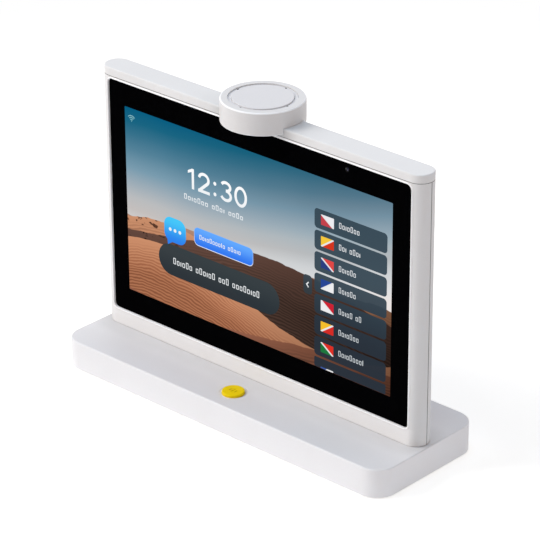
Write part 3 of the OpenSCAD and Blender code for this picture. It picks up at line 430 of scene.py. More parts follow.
def puck_painted_highlight(p):
    """Painted highlights on the puck's edges: the round one at the top and the small one at the
    foot.
    """
    wall = p.span(p.length(p.x, p.y), PUCK_R - PUCK_EDGE, PUCK_R - PUCK_EDGE / 2)
    top = p.span(p.z, PUCK_TOP - PUCK_EDGE, PUCK_TOP - PUCK_EDGE / 2)
    foot = p.span(p.z, PUCK_FOOT + PUCK_EDGE / 2, PUCK_FOOT + PUCK_EDGE / 4)
    return p.times(wall, p.most(top, foot))


def mic_hole_painted_shade(p):
    """The four sound holes in the puck's groove, with painted shade in each and on the floor round
    it.
    """
    off_x, off_y = p.magnitude(p.x), p.magnitude(p.y)
    out = p.length(p.minus(p.most(off_x, off_y), MIC_HOLE_OUT), p.math("MINIMUM", off_x, off_y))
    below = p.span(p.z, GROOVE_FLOOR + 0.06, GROOVE_FLOOR + 0.02)
    return p.times(p.span(out, MIC_HOLE_R + MIC_HOLE_SOFT_W, MIC_HOLE_R + 0.1), below)


def metal(name, colour, rough, stretch=(1, 1, 1), grain=1.2):
    """Rolled, drawn or plated metal: streaks along one way, small stains."""
    p = Paint(name)
    streaks = p.noise(grain, 4, stretch)
    body = p.ramp(streaks, [(0.25, tinted(colour, 0.84)), (0.75, tinted(colour, 1.1))])
    stains = p.ramp(p.noise(14, 4, bend=0.6), [(0.35, tinted(WHITE, 0.86)), (0.65, WHITE)])
    sheen = p.plus(rough - 0.1, p.times(streaks, 0.2))
    p.relief(streaks, 0.003)
    return p.surface(Base_Color=p.tint(body, stains), Roughness=sheen, Metallic=1.0)


def port_metal(name, colour):
    """Drawn steel of the port's shell; the tongue in it is black with a row of gold contacts."""
    p = Paint(name)
    low, high = box_mm("usb_c_port")
    off = p.magnitude(p.minus(p.z, (low.z + high.z) / 2))
    side = (high.y - low.y) / 2 - TONGUE_ASIDE
    wide = p.span(p.magnitude(p.y), side, side - 0.1)
    deep = p.span(p.x, low.x + TONGUE_IN, low.x + TONGUE_IN + 0.05)
    tongue = p.times(wide, p.span(off, TONGUE_T / 2, TONGUE_T / 2 - 0.05), deep)
    lane = p.magnitude(p.math("SINE", p.times(p.y, math.pi / CONTACT_PITCH)))
    deeper = p.span(p.x, low.x + CONTACT_IN, low.x + CONTACT_IN + 0.1)
    contact = p.times(p.span(lane, 0.5, 0.6), deeper, p.span(off, 0.33, 0.34))
    steel = p.ramp(p.noise(0.8, 4), [(0.25, tinted(colour, 0.84)), (0.75, tinted(colour, 1.08))])
    insert = p.blend(contact, tone(30, 30, 32), tone(222, 186, 110))
    is_metal = p.most(p.minus(1.0, tongue), contact)
    return p.surface(Base_Color=p.blend(tongue, steel, insert), Metallic=is_metal, Roughness=0.32)


def rubber(name, colour, rough):
    """Soft rubber or foam with open pores."""
    p = Paint(name)
    pores = p.noise(0.35, 3)
    body = p.ramp(pores, [(0.3, tinted(colour, 0.6)), (0.65, tinted(colour, 1.25))])
    p.relief(pores, 0.02)
    return p.surface(Base_Color=body, Roughness=rough, Specular_IOR_Level=0.3)


def circuit(name, colour):
    """Solder mask over copper: tracks that show lighter, pads, and a fine glass weave."""
    p = Paint(name)
    lanes = p.cells(3.2, 0.25, distance="MANHATTAN", feature="DISTANCE_TO_EDGE")
    track = p.span(lanes, 0.05, 0.07)
    pad = p.span(p.cells(5.5, 0.6), 0.10, 0.07)
    weave = p.ramp(p.noise(0.6, 2), [(0.3, tinted(colour, 0.8)), (0.7, colour)])
    mask = p.blend(track, tinted(colour, 1.7), weave)
    p.relief(track, -0.02)
    return p.surface(Base_Color=p.blend(pad, mask, tone(214, 186, 120)), Roughness=0.38)


def film(name, colour):
    """Amber ribbon film with its row of copper conductors."""
    p = Paint(name)
    rows = p.math("SINE", p.times(p.plus(p.x, p.y), 2 * math.pi / CONDUCTOR_PITCH))
    body = p.blend(p.span(rows, -0.1, 0.3), colour, tinted(colour, 1.6))
    drift = p.ramp(p.noise(11, 2), [(0.3, tinted(WHITE, 0.88)), (0.7, WHITE)])
    return p.surface(Base_Color=p.tint(body, drift), Roughness=0.34)


def yellow_key(name, colour):
    """Satin yellow cap of a talk button, a little darker in the sunk bars of its mark, as painted
    shade.
    """
    p = Paint(name)
    out = p.length(p.x, p.minus(p.magnitude(p.y), KEY_Y))
    sunk = p.span(p.z, KEY_TOP - 0.08, KEY_TOP - 0.2)
    mark = p.times(sunk, p.span(out, KEY_MARK_R + 0.5, KEY_MARK_R))
    body = p.ramp(p.noise(5, 3), [(0.3, tinted(colour, 0.97)), (0.7, tinted(colour, 1.02))])
    body = p.blend(mark, body, tinted(colour, 0.7))
    p.relief(p.noise(0.4, 2), 0.004)
    return p.surface(Base_Color=body, Roughness=0.45, Specular_IOR_Level=0.1)


def clear_glass(name):
    """Cover glass with an anti-glare coat: clear, and glossy only when seen at a slant."""
    p = Paint(name)
    clear = p.node("ShaderNodeBsdfTransparent", {"Color": WHITE})
    smear = p.ramp(p.noise(30, 3), [(0.3, tinted(WHITE, 0.96)), (0.7, WHITE)])
    shine = p.node("ShaderNodeBsdfGlossy", {"Color": smear, "Roughness": 0.06})
    edge_on = p.node("ShaderNodeFresnel", {"IOR": COATED_IOR}).outputs["Fac"]
    outside = p.minus(1.0, p.node("ShaderNodeNewGeometry").outputs["Backfacing"])
    share = p.times(p.minus(edge_on, COAT_LOSS, clamp=True), outside)
    return p.finish_with(p.mix(share, clear, shine))


def along_screen(p):
    """Millimetres to the right across a screen, as its viewer sees it, on either face."""
    return p.times(p.x, p.times(p.math("SIGN", p.y), -1))


def lit(p, colour):
    """Ends a material as light of that colour from a dark surface."""
    return p.surface(
        Base_Color=BLACK,
        Roughness=0.5,
        Specular_IOR_Level=0.0,
        Emission_Color=colour,
        Emission_Strength=1.0,
    )


# Hills of the wallpaper, from the farthest: height and swell in mm, waves across the screen,
# phase in turns, and the colours at the crest and at the foot
HILLS = [
    (54, 3.0, 2.3, 0.62, tone(178, 136, 114), tone(122, 84, 66)),
    (50, 5.0, 1.3, 0.02, tone(206, 146, 110), tone(140, 92, 70)),
    (50, 9.0, 0.8, 0.80, tone(100, 72, 62), tone(74, 55, 47)),
    (24, 15.0, 0.8, 0.14, tone(206, 144, 108), tone(162, 102, 72)),
    (4, 8.0, 0.7, 0.60, tone(150, 96, 74), tone(84, 58, 48)),
]

# Height over which a hill gets darker, and unevenness of its crest, in mm
HILL_DEPTH = 36
HILL_ROUGH = 4.0

# Ripples: from crest to crest in mm, bend in radians, and share of the hill's shading
RIPPLE_PITCH = 2.1
RIPPLE_BEND = 34
RIPPLE_SHADE = 0.22

# Hills above this height in mm have rocks; what is left of the hills' colours at the right edge
ROCKS_FROM_LEVEL = 40
RIGHT_SHADE = 0.3

# Colours of the sky at heights above the lit area's lower edge, in mm
SKY = [
    (29, tone(236, 229, 226)),
    (37, tone(226, 224, 224)),
    (49, tone(212, 211, 211)),
    (58, tone(196, 191, 189)),
    (66, tone(186, 188, 190)),
    (75, tone(160, 174, 184)),
    (86, tone(122, 156, 175)),
    (99, tone(84, 130, 153)),
    (110, tone(54, 113, 139)),
    (118, tone(26, 101, 130)),
    (128, tone(4, 92, 128)),
]

# What the sky's colours are multiplied by toward the right, at heights of the same kind
SKY_TINT = [
    (29, (1.0, 1.0, 1.0, 1.0)),
    (50, (0.92, 0.97, 1.0, 1.0)),
    (58, (0.84, 0.94, 1.0, 1.0)),
    (72, (0.80, 0.92, 0.97, 1.0)),
    (82, (0.85, 0.86, 0.87, 1.0)),
    (92, (0.95, 0.82, 0.80, 1.0)),
    (112, (1.0, 0.84, 0.82, 1.0)),
]

# Where that starts, and over how much of the width it grows to its full strength
TINT_START = 0.15
TINT_REACH = 0.65

# How much higher the sky's bands lie at the right edge, and how uneven they are, in mm
SKY_LEAN = 33
SKY_HAZE = 6


def sky(p, across, up):
    """Sky in bands that rise to the right, greyer at the right."""
    lean = p.times(p.times(across, across), SKY_LEAN)
    haze = p.times(p.minus(p.noise(70, 2), 0.5), SKY_HAZE)
    height = p.plus(p.minus(up, lean), haze)
    low, high = SKY[0][0], SKY[-1][0]
    share = p.over(p.minus(height, low), high - low)
    picture, tint = [
        p.ramp(share, [((z - low) / (high - low), colour) for z, colour in stops])
        for stops in (SKY, SKY_TINT)
    ]
    rightward = p.over(p.minus(across, TINT_START), TINT_REACH, clamp=True)
    return p.blend(rightward, picture, p.tint(picture, tint))


def hill_face(p, across, below, level, crest_colour, foot_colour):
    """Rippled sand that gets darker down the hill; the far hills have rocks at the left."""
    bend = p.times(p.noise(30, 3, (0.6, 1, 1.2)), RIPPLE_BEND)
    comb = p.plus(p.times(below, 2 * math.pi / RIPPLE_PITCH), bend)
    ripple = p.times(p.math("SINE", comb), p.span(below, 1, 12))
    slope = p.math("MINIMUM", p.over(below, HILL_DEPTH), 0.7)
    depth = p.plus(slope, p.times(ripple, RIPPLE_SHADE))
    stops = [(0.0, crest_colour), (0.7, foot_colour), (1.0, tinted(foot_colour, 0.5))]
    face = p.ramp(depth, stops)
    if level > ROCKS_FROM_LEVEL:
        belt = p.times(inside(p, below, 0.6, 6.0, 0.5), p.span(across, 0.3, 0.1))
        rocks = p.times(p.span(p.noise(2.6, 4, (0.5, 1, 1)), 0.56, 0.62), belt)
        face = p.blend(rocks, face, tinted(foot_colour, 0.35))
    return face


def wallpaper(name):
    """Evening sky over sand hills, which lie in shade toward the right."""
    p = Paint(name)
    across = p.over(p.minus(along_screen(p), LIT_LEFT), LIT_RIGHT - LIT_LEFT)
    up = p.minus(p.z, LIT_BOTTOM)
    picture = sky(p, across, up)
    shadow = p.ramp(across, [(0.4, WHITE), (1.0, tinted(WHITE, RIGHT_SHADE))])
    for level, swell, waves, phase, crest_colour, foot_colour in HILLS:
        turn = p.plus(p.times(across, waves), phase)
        wave = p.times(p.math("SINE", p.times(turn, 2 * math.pi)), swell)
        rough = p.times(p.noise(14, 5), HILL_ROUGH)
        below = p.minus(p.plus(wave, rough, level), up)
        face = hill_face(p, across, below, level, crest_colour, foot_colour)
        picture = p.blend(p.span(below, 0.0, 0.5), picture, p.tint(face, shadow))
    lit_part = p.times(
        p.span(p.magnitude(p.x), PANEL_HIGH.x - 0.9, PANEL_HIGH.x - 1.0),
        p.span(p.magnitude(p.y), PANEL_FACE - 0.1, PANEL_FACE - 0.02),
    )
    return lit(p, p.blend(lit_part, tone(2, 2, 3), picture))


def screen_card(name, low_colour, high_colour, low, high, cover=1.0):
    """Lit card of the interface, shaded up its height, that lets a little picture through."""
    p = Paint(name)
    height = p.plus(p.span(p.z, low, high), p.times(p.noise(3, 2), 0.04))
    lit(p, p.ramp(height, [(0.0, low_colour), (1.0, high_colour)]))
    if cover < 1:
        p.surface(Alpha=cover)
    return p.material


# Interface, in mm across and up the front screen. A box is left, right, low, high. Words are
# counts of letters, and a letter is its width and height. The bubble's tail is measured from its
# lower left corner, and the arrow from its own tip
CLOCK_FOOT = 135.6
CLOCK_H = 13.8
CLOCK_STROKE = 2.0
CLOCK_ONE = (-56.8, -51.6)
CLOCK_TWO = (-48.2, -38.2)
CLOCK_COLON = -33.8
CLOCK_DOT_R = 1.25
CLOCK_THREE = (-29.6, -19.4)
CLOCK_ZERO = (-17.4, -6.8)
DATE_LEFT = -60.4
DATE_WORDS = [7, 4, 4]
DATE_FOOT = 127.2
DATE_LETTER = (2.3, 2.6)
PILL = (-52.3, -2.0, 98.0, 110.5)
PILL_R = 3.6
PILL_RIM = 0.3
PILL_WORDS = [10, 5]
PILL_WORDS_IN = 4.6
PILL_WORDS_DOWN = 1.3
PILL_LETTER = (1.75, 2.3)
PILL_INSET = (0.3, -0.3, 0.45, -0.3)
MESSAGE = (-83.9, 19.7, 69.9, 91.6)
MESSAGE_WORDS = [6, 6, 3, 8]
MESSAGE_WORDS_IN = 12.9
MESSAGE_WORDS_DOWN = 2.2
MESSAGE_LETTER = (2.2, 3.1)
BUBBLE = (-78.5, -59.5, 93.5, 110.5)
BUBBLE_R = 6.0
BUBBLE_TAIL = [(3.0, -2.6), (10.0, 2.0), (2.0, 7.0)]
BUBBLE_DOT_R = 1.2
BUBBLE_DOT_PITCH = 4.2
TAB = (39.4, 46.5, 94.8, 107.6)
TAB_R = 2.4
ARROW_IN = 2.2
ARROW = [(0, 0), (1.8, 2.0), (2.4, 1.5), (1.1, 0), (2.4, -1.5), (1.8, -2.0)]
ROW_LEFT = 48.4
ROW_RIGHT = 105.7
ROW_TOP = 154.3
ROW_H = 12.9
ROW_R = 2.4
CUT_ROW_R = 1.0
ROW_PITCH = 14.25
ROW_COUNT = 8
CHIP_LEFT = 53.6
CHIP_W = 10.3
CHIP_H = 6.8
CUT_CHIP_H = 0.9
ROW_WORDS_LEFT = 68.0
ROW_WORDS_DOWN = 1.4
ROW_LETTER = (1.8, 2.7)
ROW_WORDS = [[7], [3, 4], [6], [6], [5, 2], [7], [9], []]
SIGNAL_X = -105.4
SIGNAL_Z = 166.4
SIGNAL_RADII = (1.5, 2.7, 3.9)
SIGNAL_LINE = 0.45
SIGNAL_DOT_R = 0.4
SIGNAL_DOT_UP = 0.3

# Letter blocks, in shares of their width, height or line
LETTER_GAP = 0.42
WORD_GAP = 1.1
TALL_LETTER = 1.4
LETTER_LINE = 0.24
NARROW_LETTER = 1.4
LETTER_CORNER = 0.7

# Colours of the chips, one pair for each row from the bottom one
CHIP_COLOURS = [
    (tone(235, 236, 238), tone(60, 90, 160)),
    (tone(30, 120, 62), tone(222, 48, 36)),
    (tone(212, 44, 38), tone(244, 190, 44)),
    (tone(238, 238, 240), tone(206, 34, 52)),
    (tone(238, 238, 240), tone(40, 70, 150)),
    (tone(44, 62, 128), tone(224, 72, 70)),
    (tone(214, 54, 30), tone(246, 200, 60)),
    (tone(196, 66, 76), tone(236, 236, 240)),
]


def chip_material(name):
    """Small colour chips: two colours for each row, parted on a slant by a pale line."""
    p = Paint(name)
    lowest = ROW_TOP - ROW_COUNT * ROW_PITCH
    steps = p.over(p.minus(p.z, lowest), ROW_PITCH)
    row = p.math("FLOOR", steps)
    share = p.over(p.plus(row, 0.5), ROW_COUNT)
    ground, figure = [
        p.ramp(share, [(i / ROW_COUNT, pair[k]) for i, pair in enumerate(CHIP_COLOURS)], "CONSTANT")
        for k in (0, 1)
    ]
    middle = ROW_H / 2 + ROW_PITCH - ROW_H
    height = p.minus(p.times(p.math("FRACT", steps), ROW_PITCH), middle)
    side = p.minus(along_screen(p), CHIP_LEFT + CHIP_W / 2)
    turned = p.minus(p.times(p.math("MODULO", row, 2), 2.0), 1.0)
    slant = p.plus(height, p.times(side, turned, 0.7))
    halves = p.blend(p.span(slant, -0.1, 0.1), ground, figure)
    pale = p.span(p.magnitude(slant), 0.75, 0.55)
    return lit(p, p.blend(pale, halves, tone(232, 234, 236)))


def ink_border(name):
    """Black print behind the cover glass, very slightly speckled."""
    p = Paint(name)
    body = p.ramp(p.noise(0.8, 2), [(0.3, tone(2, 2, 3)), (0.7, tone(5, 5, 6))])
    return p.surface(Base_Color=body, Roughness=0.7, Specular_IOR_Level=0.0)


# Radius of the lens in mm, and its rings: share of that radius, and colour there
LENS_R = 3.5
LENS_RINGS = [
    (0.0, tone(9, 9, 12)),
    (0.36, tone(16, 17, 20)),
    (0.4, tone(4, 4, 5)),
    (0.62, tone(9, 9, 10)),
]

# Painted reflections in the lens: mm to the right of its axis and above it, radius, colour
LENS_GLINTS = [
    (0.7, 0.9, 1.2, tone(26, 24, 62)),
    (0.5, -0.2, 0.65, tone(80, 77, 104)),
    (-0.75, 0.35, 0.55, tone(92, 97, 92)),
]


def lens_material(name):
    """Camera: matt barrel, and at its end a lens: dark rings, and painted reflections of its coats.
    """
    p = Paint(name)
    across = p.minus(along_screen(p), LENS_X)
    up = p.minus(p.z, LENS_Z)
    out = p.length(across, up)
    body = p.ramp(p.over(out, LENS_R), LENS_RINGS)
    for right, above, radius, colour in LENS_GLINTS:
        off = p.length(p.minus(across, right), p.minus(up, above))
        body = p.blend(p.span(off, radius, radius * 0.2), body, colour)
    dust = p.ramp(p.noise(0.5, 2), [(0.3, tinted(WHITE, 0.85)), (0.7, WHITE)])
    return p.surface(Base_Color=p.tint(body, dust), Roughness=0.25, Specular_IOR_Level=0.1)


# Colours and roughness of the outer mouldings. The base's colour is the shell's plastic made paler
# and a little bluer, as painted light; the puck's and its disc's are that plastic made darker, as
# painted shade
SHELL_COLOUR = (0.80, 0.795, 0.79, 1.0)
SHELL_ROUGH = 0.46
BASE_PAINTED_LIGHT_COLOUR = (0.82, 0.806, 0.81, 1.0)
PUCK_PAINTED_SHADE_COLOUR = (0.745, 0.735, 0.73, 1.0)
DISC_PAINTED_SHADE_COLOUR = (0.735, 0.725, 0.735, 1.0)


def make_finishes():
    """The material of each slot of the record."""
    return {
        "shell": plastic("shell", SHELL_COLOUR, SHELL_ROUGH),
        "disc": plastic("disc", DISC_PAINTED_SHADE_COLOUR, 0.42, depth=0.002, painted_shade=mic_hole_painted_shade),
        "cover": plastic("cover", (0.66, 0.66, 0.67, 1), 0.55, depth=0.008),
        "foot": rubber("foot", tone(58, 58, 60), 0.85),
        "screw": metal("screw", (0.62, 0.62, 0.63, 1), 0.32, grain=0.5),
        "ballast": metal("ballast", (0.46, 0.47, 0.49, 1), 0.42, (0.1, 1, 1)),
        "battery_wrap": plastic("battery_wrap", (0.10, 0.17, 0.27, 1), 0.3, grain=2.0, depth=0.03),
        "speaker": plastic("speaker", (0.03, 0.03, 0.033, 1), 0.55, depth=0.01),
        "driver": plastic("driver", (0.06, 0.06, 0.065, 1), 0.5, grain=0.3, depth=0.02),
        "circuit": circuit("circuit", tone(20, 92, 58)),
        "tin": metal("tin", (0.68, 0.68, 0.70, 1), 0.28, grain=0.8),
        "switch_body": plastic("switch_body", (0.025, 0.025, 0.028, 1), 0.45),
        "talk_yellow": yellow_key("talk_yellow", (0.96, 0.70, 0.0, 1)),
        "spring": metal("spring", (0.60, 0.60, 0.62, 1), 0.25, grain=0.2),
        "bracket": metal("bracket", (0.55, 0.56, 0.58, 1), 0.36, (1, 0.1, 0.1)),
        "chassis": metal("chassis", (0.72, 0.73, 0.75, 1), 0.38, (0.08, 1, 1)),
        "adhesive": rubber("adhesive", tone(28, 28, 30), 0.9),
        "cover_glass": clear_glass("cover_glass"),
        "display": wallpaper("display"),
        "backlight": metal("backlight", (0.62, 0.63, 0.65, 1), 0.4, (0.2, 1, 1)),
        "camera": lens_material("camera"),
        "ribbon": film("ribbon", tone(176, 104, 36)),
        "mic_can": metal("mic_can", (0.72, 0.58, 0.32, 1), 0.3, grain=0.4),
        "seal": rubber("seal", tone(34, 34, 36), 0.85),
    }


def dress_nodes():
    """Gives each node of the frame the finish of its slot, or one of its own."""
    slab = plastic("slab_shell", SHELL_COLOUR, SHELL_ROUGH, painted_shade=slab_painted_shade, rim=glass_painted_highlight)
    own = {
        "front_shell": slab,
        "rear_shell": slab,
        "usb_c_port": port_metal("port_metal", (0.66, 0.66, 0.68, 1)),
        "top_cap": plastic("cap_shell", SHELL_COLOUR, SHELL_ROUGH, painted_shade=cap_painted_shade),
        "base_shell": plastic("base_plastic", BASE_PAINTED_LIGHT_COLOUR, SHELL_ROUGH, painted_shade=slab_crease),
        "puck_housing": plastic("puck_shell", PUCK_PAINTED_SHADE_COLOUR, SHELL_ROUGH, rim=puck_painted_highlight),
    }
    finishes = make_finishes()
    for name, node in NODES.items():
        slots = node.data.materials
        slots[0] = own.get(name) or finishes[slots[0].name]


def squash_springs():
    """Gives the return spring under each talk button a mesh of its own."""
    for side in ("front", "rear"):
        spring = side + "_talk_spring"
        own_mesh(NODES[spring])


def box_outline(left, right, low, high, radius=0.0, steps=8):
    """Rounded rectangle as [across, up] points."""
    points = []
    corners = [(right, high, 0), (left, high, 1), (left, low, 2), (right, low, 3)]
    for x, z, quarter in corners:
        centre_x = x - math.copysign(radius, x - (left + right) / 2)
        centre_z = z - math.copysign(radius, z - (low + high) / 2)
        for k in range(steps + 1 if radius else 1):
            angle = (quarter + k / steps) * math.pi / 2
            points.append((centre_x + radius * math.cos(angle), centre_z + radius * math.sin(angle)))
    return points


def round_outline(x, z, radius, steps=32):
    """Circle as [across, up] points."""
    turns = [2 * math.pi * k / steps for k in range(steps)]
    return [(x + radius * math.cos(a), z + radius * math.sin(a)) for a in turns]


def arc(x, z, reach_x, reach_z, start, stop, steps=20):
    """Points along an ellipse's arc between two angles in degrees."""
    angles = [math.radians(start + (stop - start) * k / steps) for k in range(steps + 1)]
    return [(x + reach_x * math.cos(a), z + reach_z * math.sin(a)) for a in angles]


def stroke(path, width):
    """Outline of a line of that width along a path, with square ends."""
    left, right = [], []
    for k, (x, z) in enumerate(path):
        ahead, behind = Vector(path[min(k + 1, len(path) - 1)]), Vector(path[max(k - 1, 0)])
        way = (ahead - behind).normalized() * width / 2
        left.append((x - way.y, z + way.x))
        right.append((x + way.y, z - way.x))
    return left + right[::-1]


def filled_mesh(curve, name):
    """Mesh of a flat curve. The object made for it is removed."""
    shape = bpy.data.objects.new(name, curve)
    bpy.context.scene.collection.objects.link(shape)
    bpy.context.view_layer.update()
    solid = shape.evaluated_get(bpy.context.evaluated_depsgraph_get())
    mesh = bpy.data.meshes.new_from_object(solid)
    bpy.data.objects.remove(shape)
    return mesh


def sheet_mesh(name, *groups):
    """Thin flat sheets in the plane of [across, up]. In a group, an inner outline is a hole."""
    made = bmesh.new()
    for outlines in groups:
        curve = bpy.data.curves.new(name, "CURVE")
        curve.dimensions = "2D"
        curve.fill_mode = "BOTH"
        curve.extrude = SHEET_T / 2
        for outline in outlines:
            spline = curve.splines.new("POLY")
            spline.points.add(len(outline) - 1)
            for point, (x, z) in zip(spline.points, outline):
                point.co = (x, z, 0, 1)
            spline.use_cyclic_u = True
        made.from_mesh(filled_mesh(curve, name))
    mesh = bpy.data.meshes.new(name)
    made.to_mesh(mesh)
    made.free()
    return mesh


def face_matrix(level):
    """From [across, up, out] in mm to the front face, that far in front of the middle plane."""
    upright = Matrix.Rotation(math.pi / 2, 4, "X")
    return Matrix.Translation((0, -level * MM, 0)) @ upright @ Matrix.Scale(MM, 4)


def add_piece(name, mesh, material):
    """Adds a finished mesh as a piece that rides on the stand."""
    piece = bpy.data.objects.new(name, mesh)
    bpy.context.scene.collection.objects.link(piece)
    mesh.materials.append(material)
    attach(piece, "stand")


def on_both_faces(name, level, material, *groups, slot="display"):
    """Sets flat sheets at that level of the front face, and their copy on the rear face."""
    mesh = sheet_mesh(name, *groups)
    mesh.transform(face_matrix(level + SHEET_T / 2))
    turned = mesh.copy()
    turned.transform(HALF_TURN)
    add_piece("front_" + name, mesh, material)
    add_piece("rear_" + name, turned, material)


def letter_blocks(left, foot, counts, width, height):
    """Hollow blocks in a line that stand for the letters of words, each with its outlines."""
    outlines = []
    line = width * LETTER_LINE
    for word, count in enumerate(counts):
        for letter in range(count):
            tall = (letter * 3 + word) % 4 == 0
            narrow = (letter * 5 + word) % 6 == 4
            top = foot + height * (TALL_LETTER if tall else 1.0)
            right = left + (line * NARROW_LETTER if narrow else width)
            outlines.append(box_outline(left, right, foot, top, line * LETTER_CORNER, 2))
            if not narrow:
                hollow = box_outline(left + line, right - line, foot + line, top - line)
                outlines.append(hollow)
            left = right + width * LETTER_GAP
        left += width * WORD_GAP
    return outlines


def add_border():
    """Black print round the lit part, with a clear window for the camera."""
    outer = box_outline(GLASS_LOW.x, GLASS_HIGH.x, GLASS_LOW.z, GLASS_HIGH.z, GLASS_CORNER)
    window = box_outline(LIT_LEFT, LIT_RIGHT, LIT_BOTTOM, LIT_TOP, LIT_CORNER, 4)
    outlines = [outer, window, round_outline(LENS_X, LENS_Z, LENS_WINDOW_R)]
    on_both_faces("ink_border", BORDER_LEVEL, ink_border("ink"), outlines, slot="cover_glass")


def digit_one(foot, top):
    """The outline of a 1."""
    left, right = CLOCK_ONE
    stem = right - CLOCK_STROKE
    return [
        (stem, foot), (right, foot), (right, top), (right - 0.8 * CLOCK_STROKE, top),
        (left, top - 0.14 * CLOCK_H), (left, top - 0.27 * CLOCK_H), (stem, top - 0.17 * CLOCK_H),
    ]


def digit_two(foot, top):
    """The hook and the bar of a 2."""
    left, right = CLOCK_TWO
    half = CLOCK_STROKE / 2
    reach = (right - left) / 2 - half
    height = reach * 0.86
    hook = arc((left + right) / 2, top - half - height, reach, height, 172, -38)
    hook.append((left + half, foot + half))
    return stroke(hook, CLOCK_STROKE), box_outline(left, right, foot, foot + CLOCK_STROKE)


def digit_three(foot, top):
    """The upper and the lower bowl of a 3."""
    left, right = CLOCK_THREE
    half = CLOCK_STROKE / 2
    middle = (left + right) / 2
    reach = (right - left) / 2 - half
    upper, lower = [(CLOCK_H - CLOCK_STROKE) / 2 * part for part in (0.46, 0.54)]
    bowl_high = arc(middle, top - half - upper, reach * 0.9, upper, 158, -90)
    bowl_low = arc(middle, foot + half + lower, reach, lower, 90, -158)
    return stroke(bowl_high, CLOCK_STROKE), stroke(bowl_low, CLOCK_STROKE)


def digit_zero(foot):
    """The outer and the inner outline of a 0."""
    left, right = CLOCK_ZERO
    middle_x, middle_z = (left + right) / 2, foot + CLOCK_H / 2
    return [
        arc(middle_x, middle_z, (right - left) / 2 - inset, CLOCK_H / 2 - inset, 0, 352, 44)
        for inset in (0.0, CLOCK_STROKE)
    ]


def add_clock():
    """Plain digits of a clock, with a line of letter blocks under them."""
    foot, top = CLOCK_FOOT, CLOCK_FOOT + CLOCK_H
    hook, bar = digit_two(foot, top)
    bowls = digit_three(foot, top)
    heights = [foot + CLOCK_H * part for part in (0.16, 0.68)]
    dots = [round_outline(CLOCK_COLON, height, CLOCK_DOT_R, 20) for height in heights]
    groups = [[digit_one(foot, top)], [hook], [bar], [bowls[0]], [bowls[1]], digit_zero(foot), dots]
    white = screen_card("clock_white", tone(236, 240, 243), tone(252, 253, 254), 130, 150)
    on_both_faces("clock", CARD_LEVEL, white, *groups)
    pale = screen_card("date_white", tone(226, 232, 236), tone(240, 243, 246), 127, 131)
    date = letter_blocks(DATE_LEFT, DATE_FOOT, DATE_WORDS, *DATE_LETTER)
    on_both_faces("date_line", CARD_LEVEL, pale, date)


def add_pills():
    """The small pill with its pale line, and the long one under it."""
    blue = screen_card("pill_blue", tone(48, 118, 240), tone(98, 168, 255), PILL[2], PILL[3], 0.98)
    outer = box_outline(*PILL, PILL_R)
    inner = box_outline(*[v + d for v, d in zip(PILL, PILL_INSET)], PILL_R - PILL_RIM)
    on_both_faces("mode_pill", CARD_LEVEL, blue, [outer])
    rim = screen_card("pill_rim", tone(232, 240, 250), tone(120, 180, 255), PILL[2], PILL[3])
    on_both_faces("pill_rim", MARK_LEVEL, rim, [outer, inner])
    low, high = MESSAGE[2:]
    dark = screen_card("message_dark", tone(44, 52, 58), tone(56, 64, 68), low, high, 0.93)
    message = box_outline(*MESSAGE, (high - low) / 2, 12)
    on_both_faces("message_pill", PLATE_LEVEL, dark, [message])


def add_bubble():
    """Speech bubble with its tail."""
    left, _, low, high = BUBBLE
    blue = screen_card("bubble_blue", tone(46, 128, 238), tone(70, 200, 250), low, high)
    tail = [(left + x, low + z) for x, z in BUBBLE_TAIL]
    on_both_faces("speech_bubble", CARD_LEVEL, blue, [box_outline(*BUBBLE, BUBBLE_R)])
    on_both_faces("speech_tail", CARD_LEVEL, blue, [tail])


def add_list():
    """Tab and rows of the list, the last row cut off by the screen's lower edge."""
    tab = screen_card("tab_slate", tone(52, 60, 66), tone(60, 70, 78), TAB[2], TAB[3], 0.9)
    on_both_faces("list_tab", PLATE_LEVEL, tab, [box_outline(*TAB, TAB_R)])
    rows, chips, bars = [], [], []
    for index, counts in enumerate(ROW_WORDS):
        high = ROW_TOP - index * ROW_PITCH
        low = high - ROW_H
        middle = (low + high) / 2
        radius = ROW_R
        chip_low, chip_high = middle - CHIP_H / 2, middle + CHIP_H / 2
        if low < LIT_BOTTOM:
            low, radius = LIT_BOTTOM, CUT_ROW_R
            chip_low, chip_high = LIT_BOTTOM, LIT_BOTTOM + CUT_CHIP_H
        rows.append(box_outline(ROW_LEFT, ROW_RIGHT, low, high, radius))
        chips.append(box_outline(CHIP_LEFT, CHIP_LEFT + CHIP_W, chip_low, chip_high, 0.3, 2))
        bars += letter_blocks(ROW_WORDS_LEFT, middle - ROW_WORDS_DOWN, counts, *ROW_LETTER)
    slate = screen_card("row_slate", tone(42, 50, 60), tone(56, 74, 86), 70, 125, 0.86)
    on_both_faces("list_rows", PLATE_LEVEL, slate, rows)
    on_both_faces("row_chips", CARD_LEVEL, chip_material("chips"), chips)
    grey = screen_card("bar_white", tone(204, 210, 214), tone(232, 235, 238), 60, 150)
    on_both_faces("row_bars", CARD_LEVEL, grey, bars)


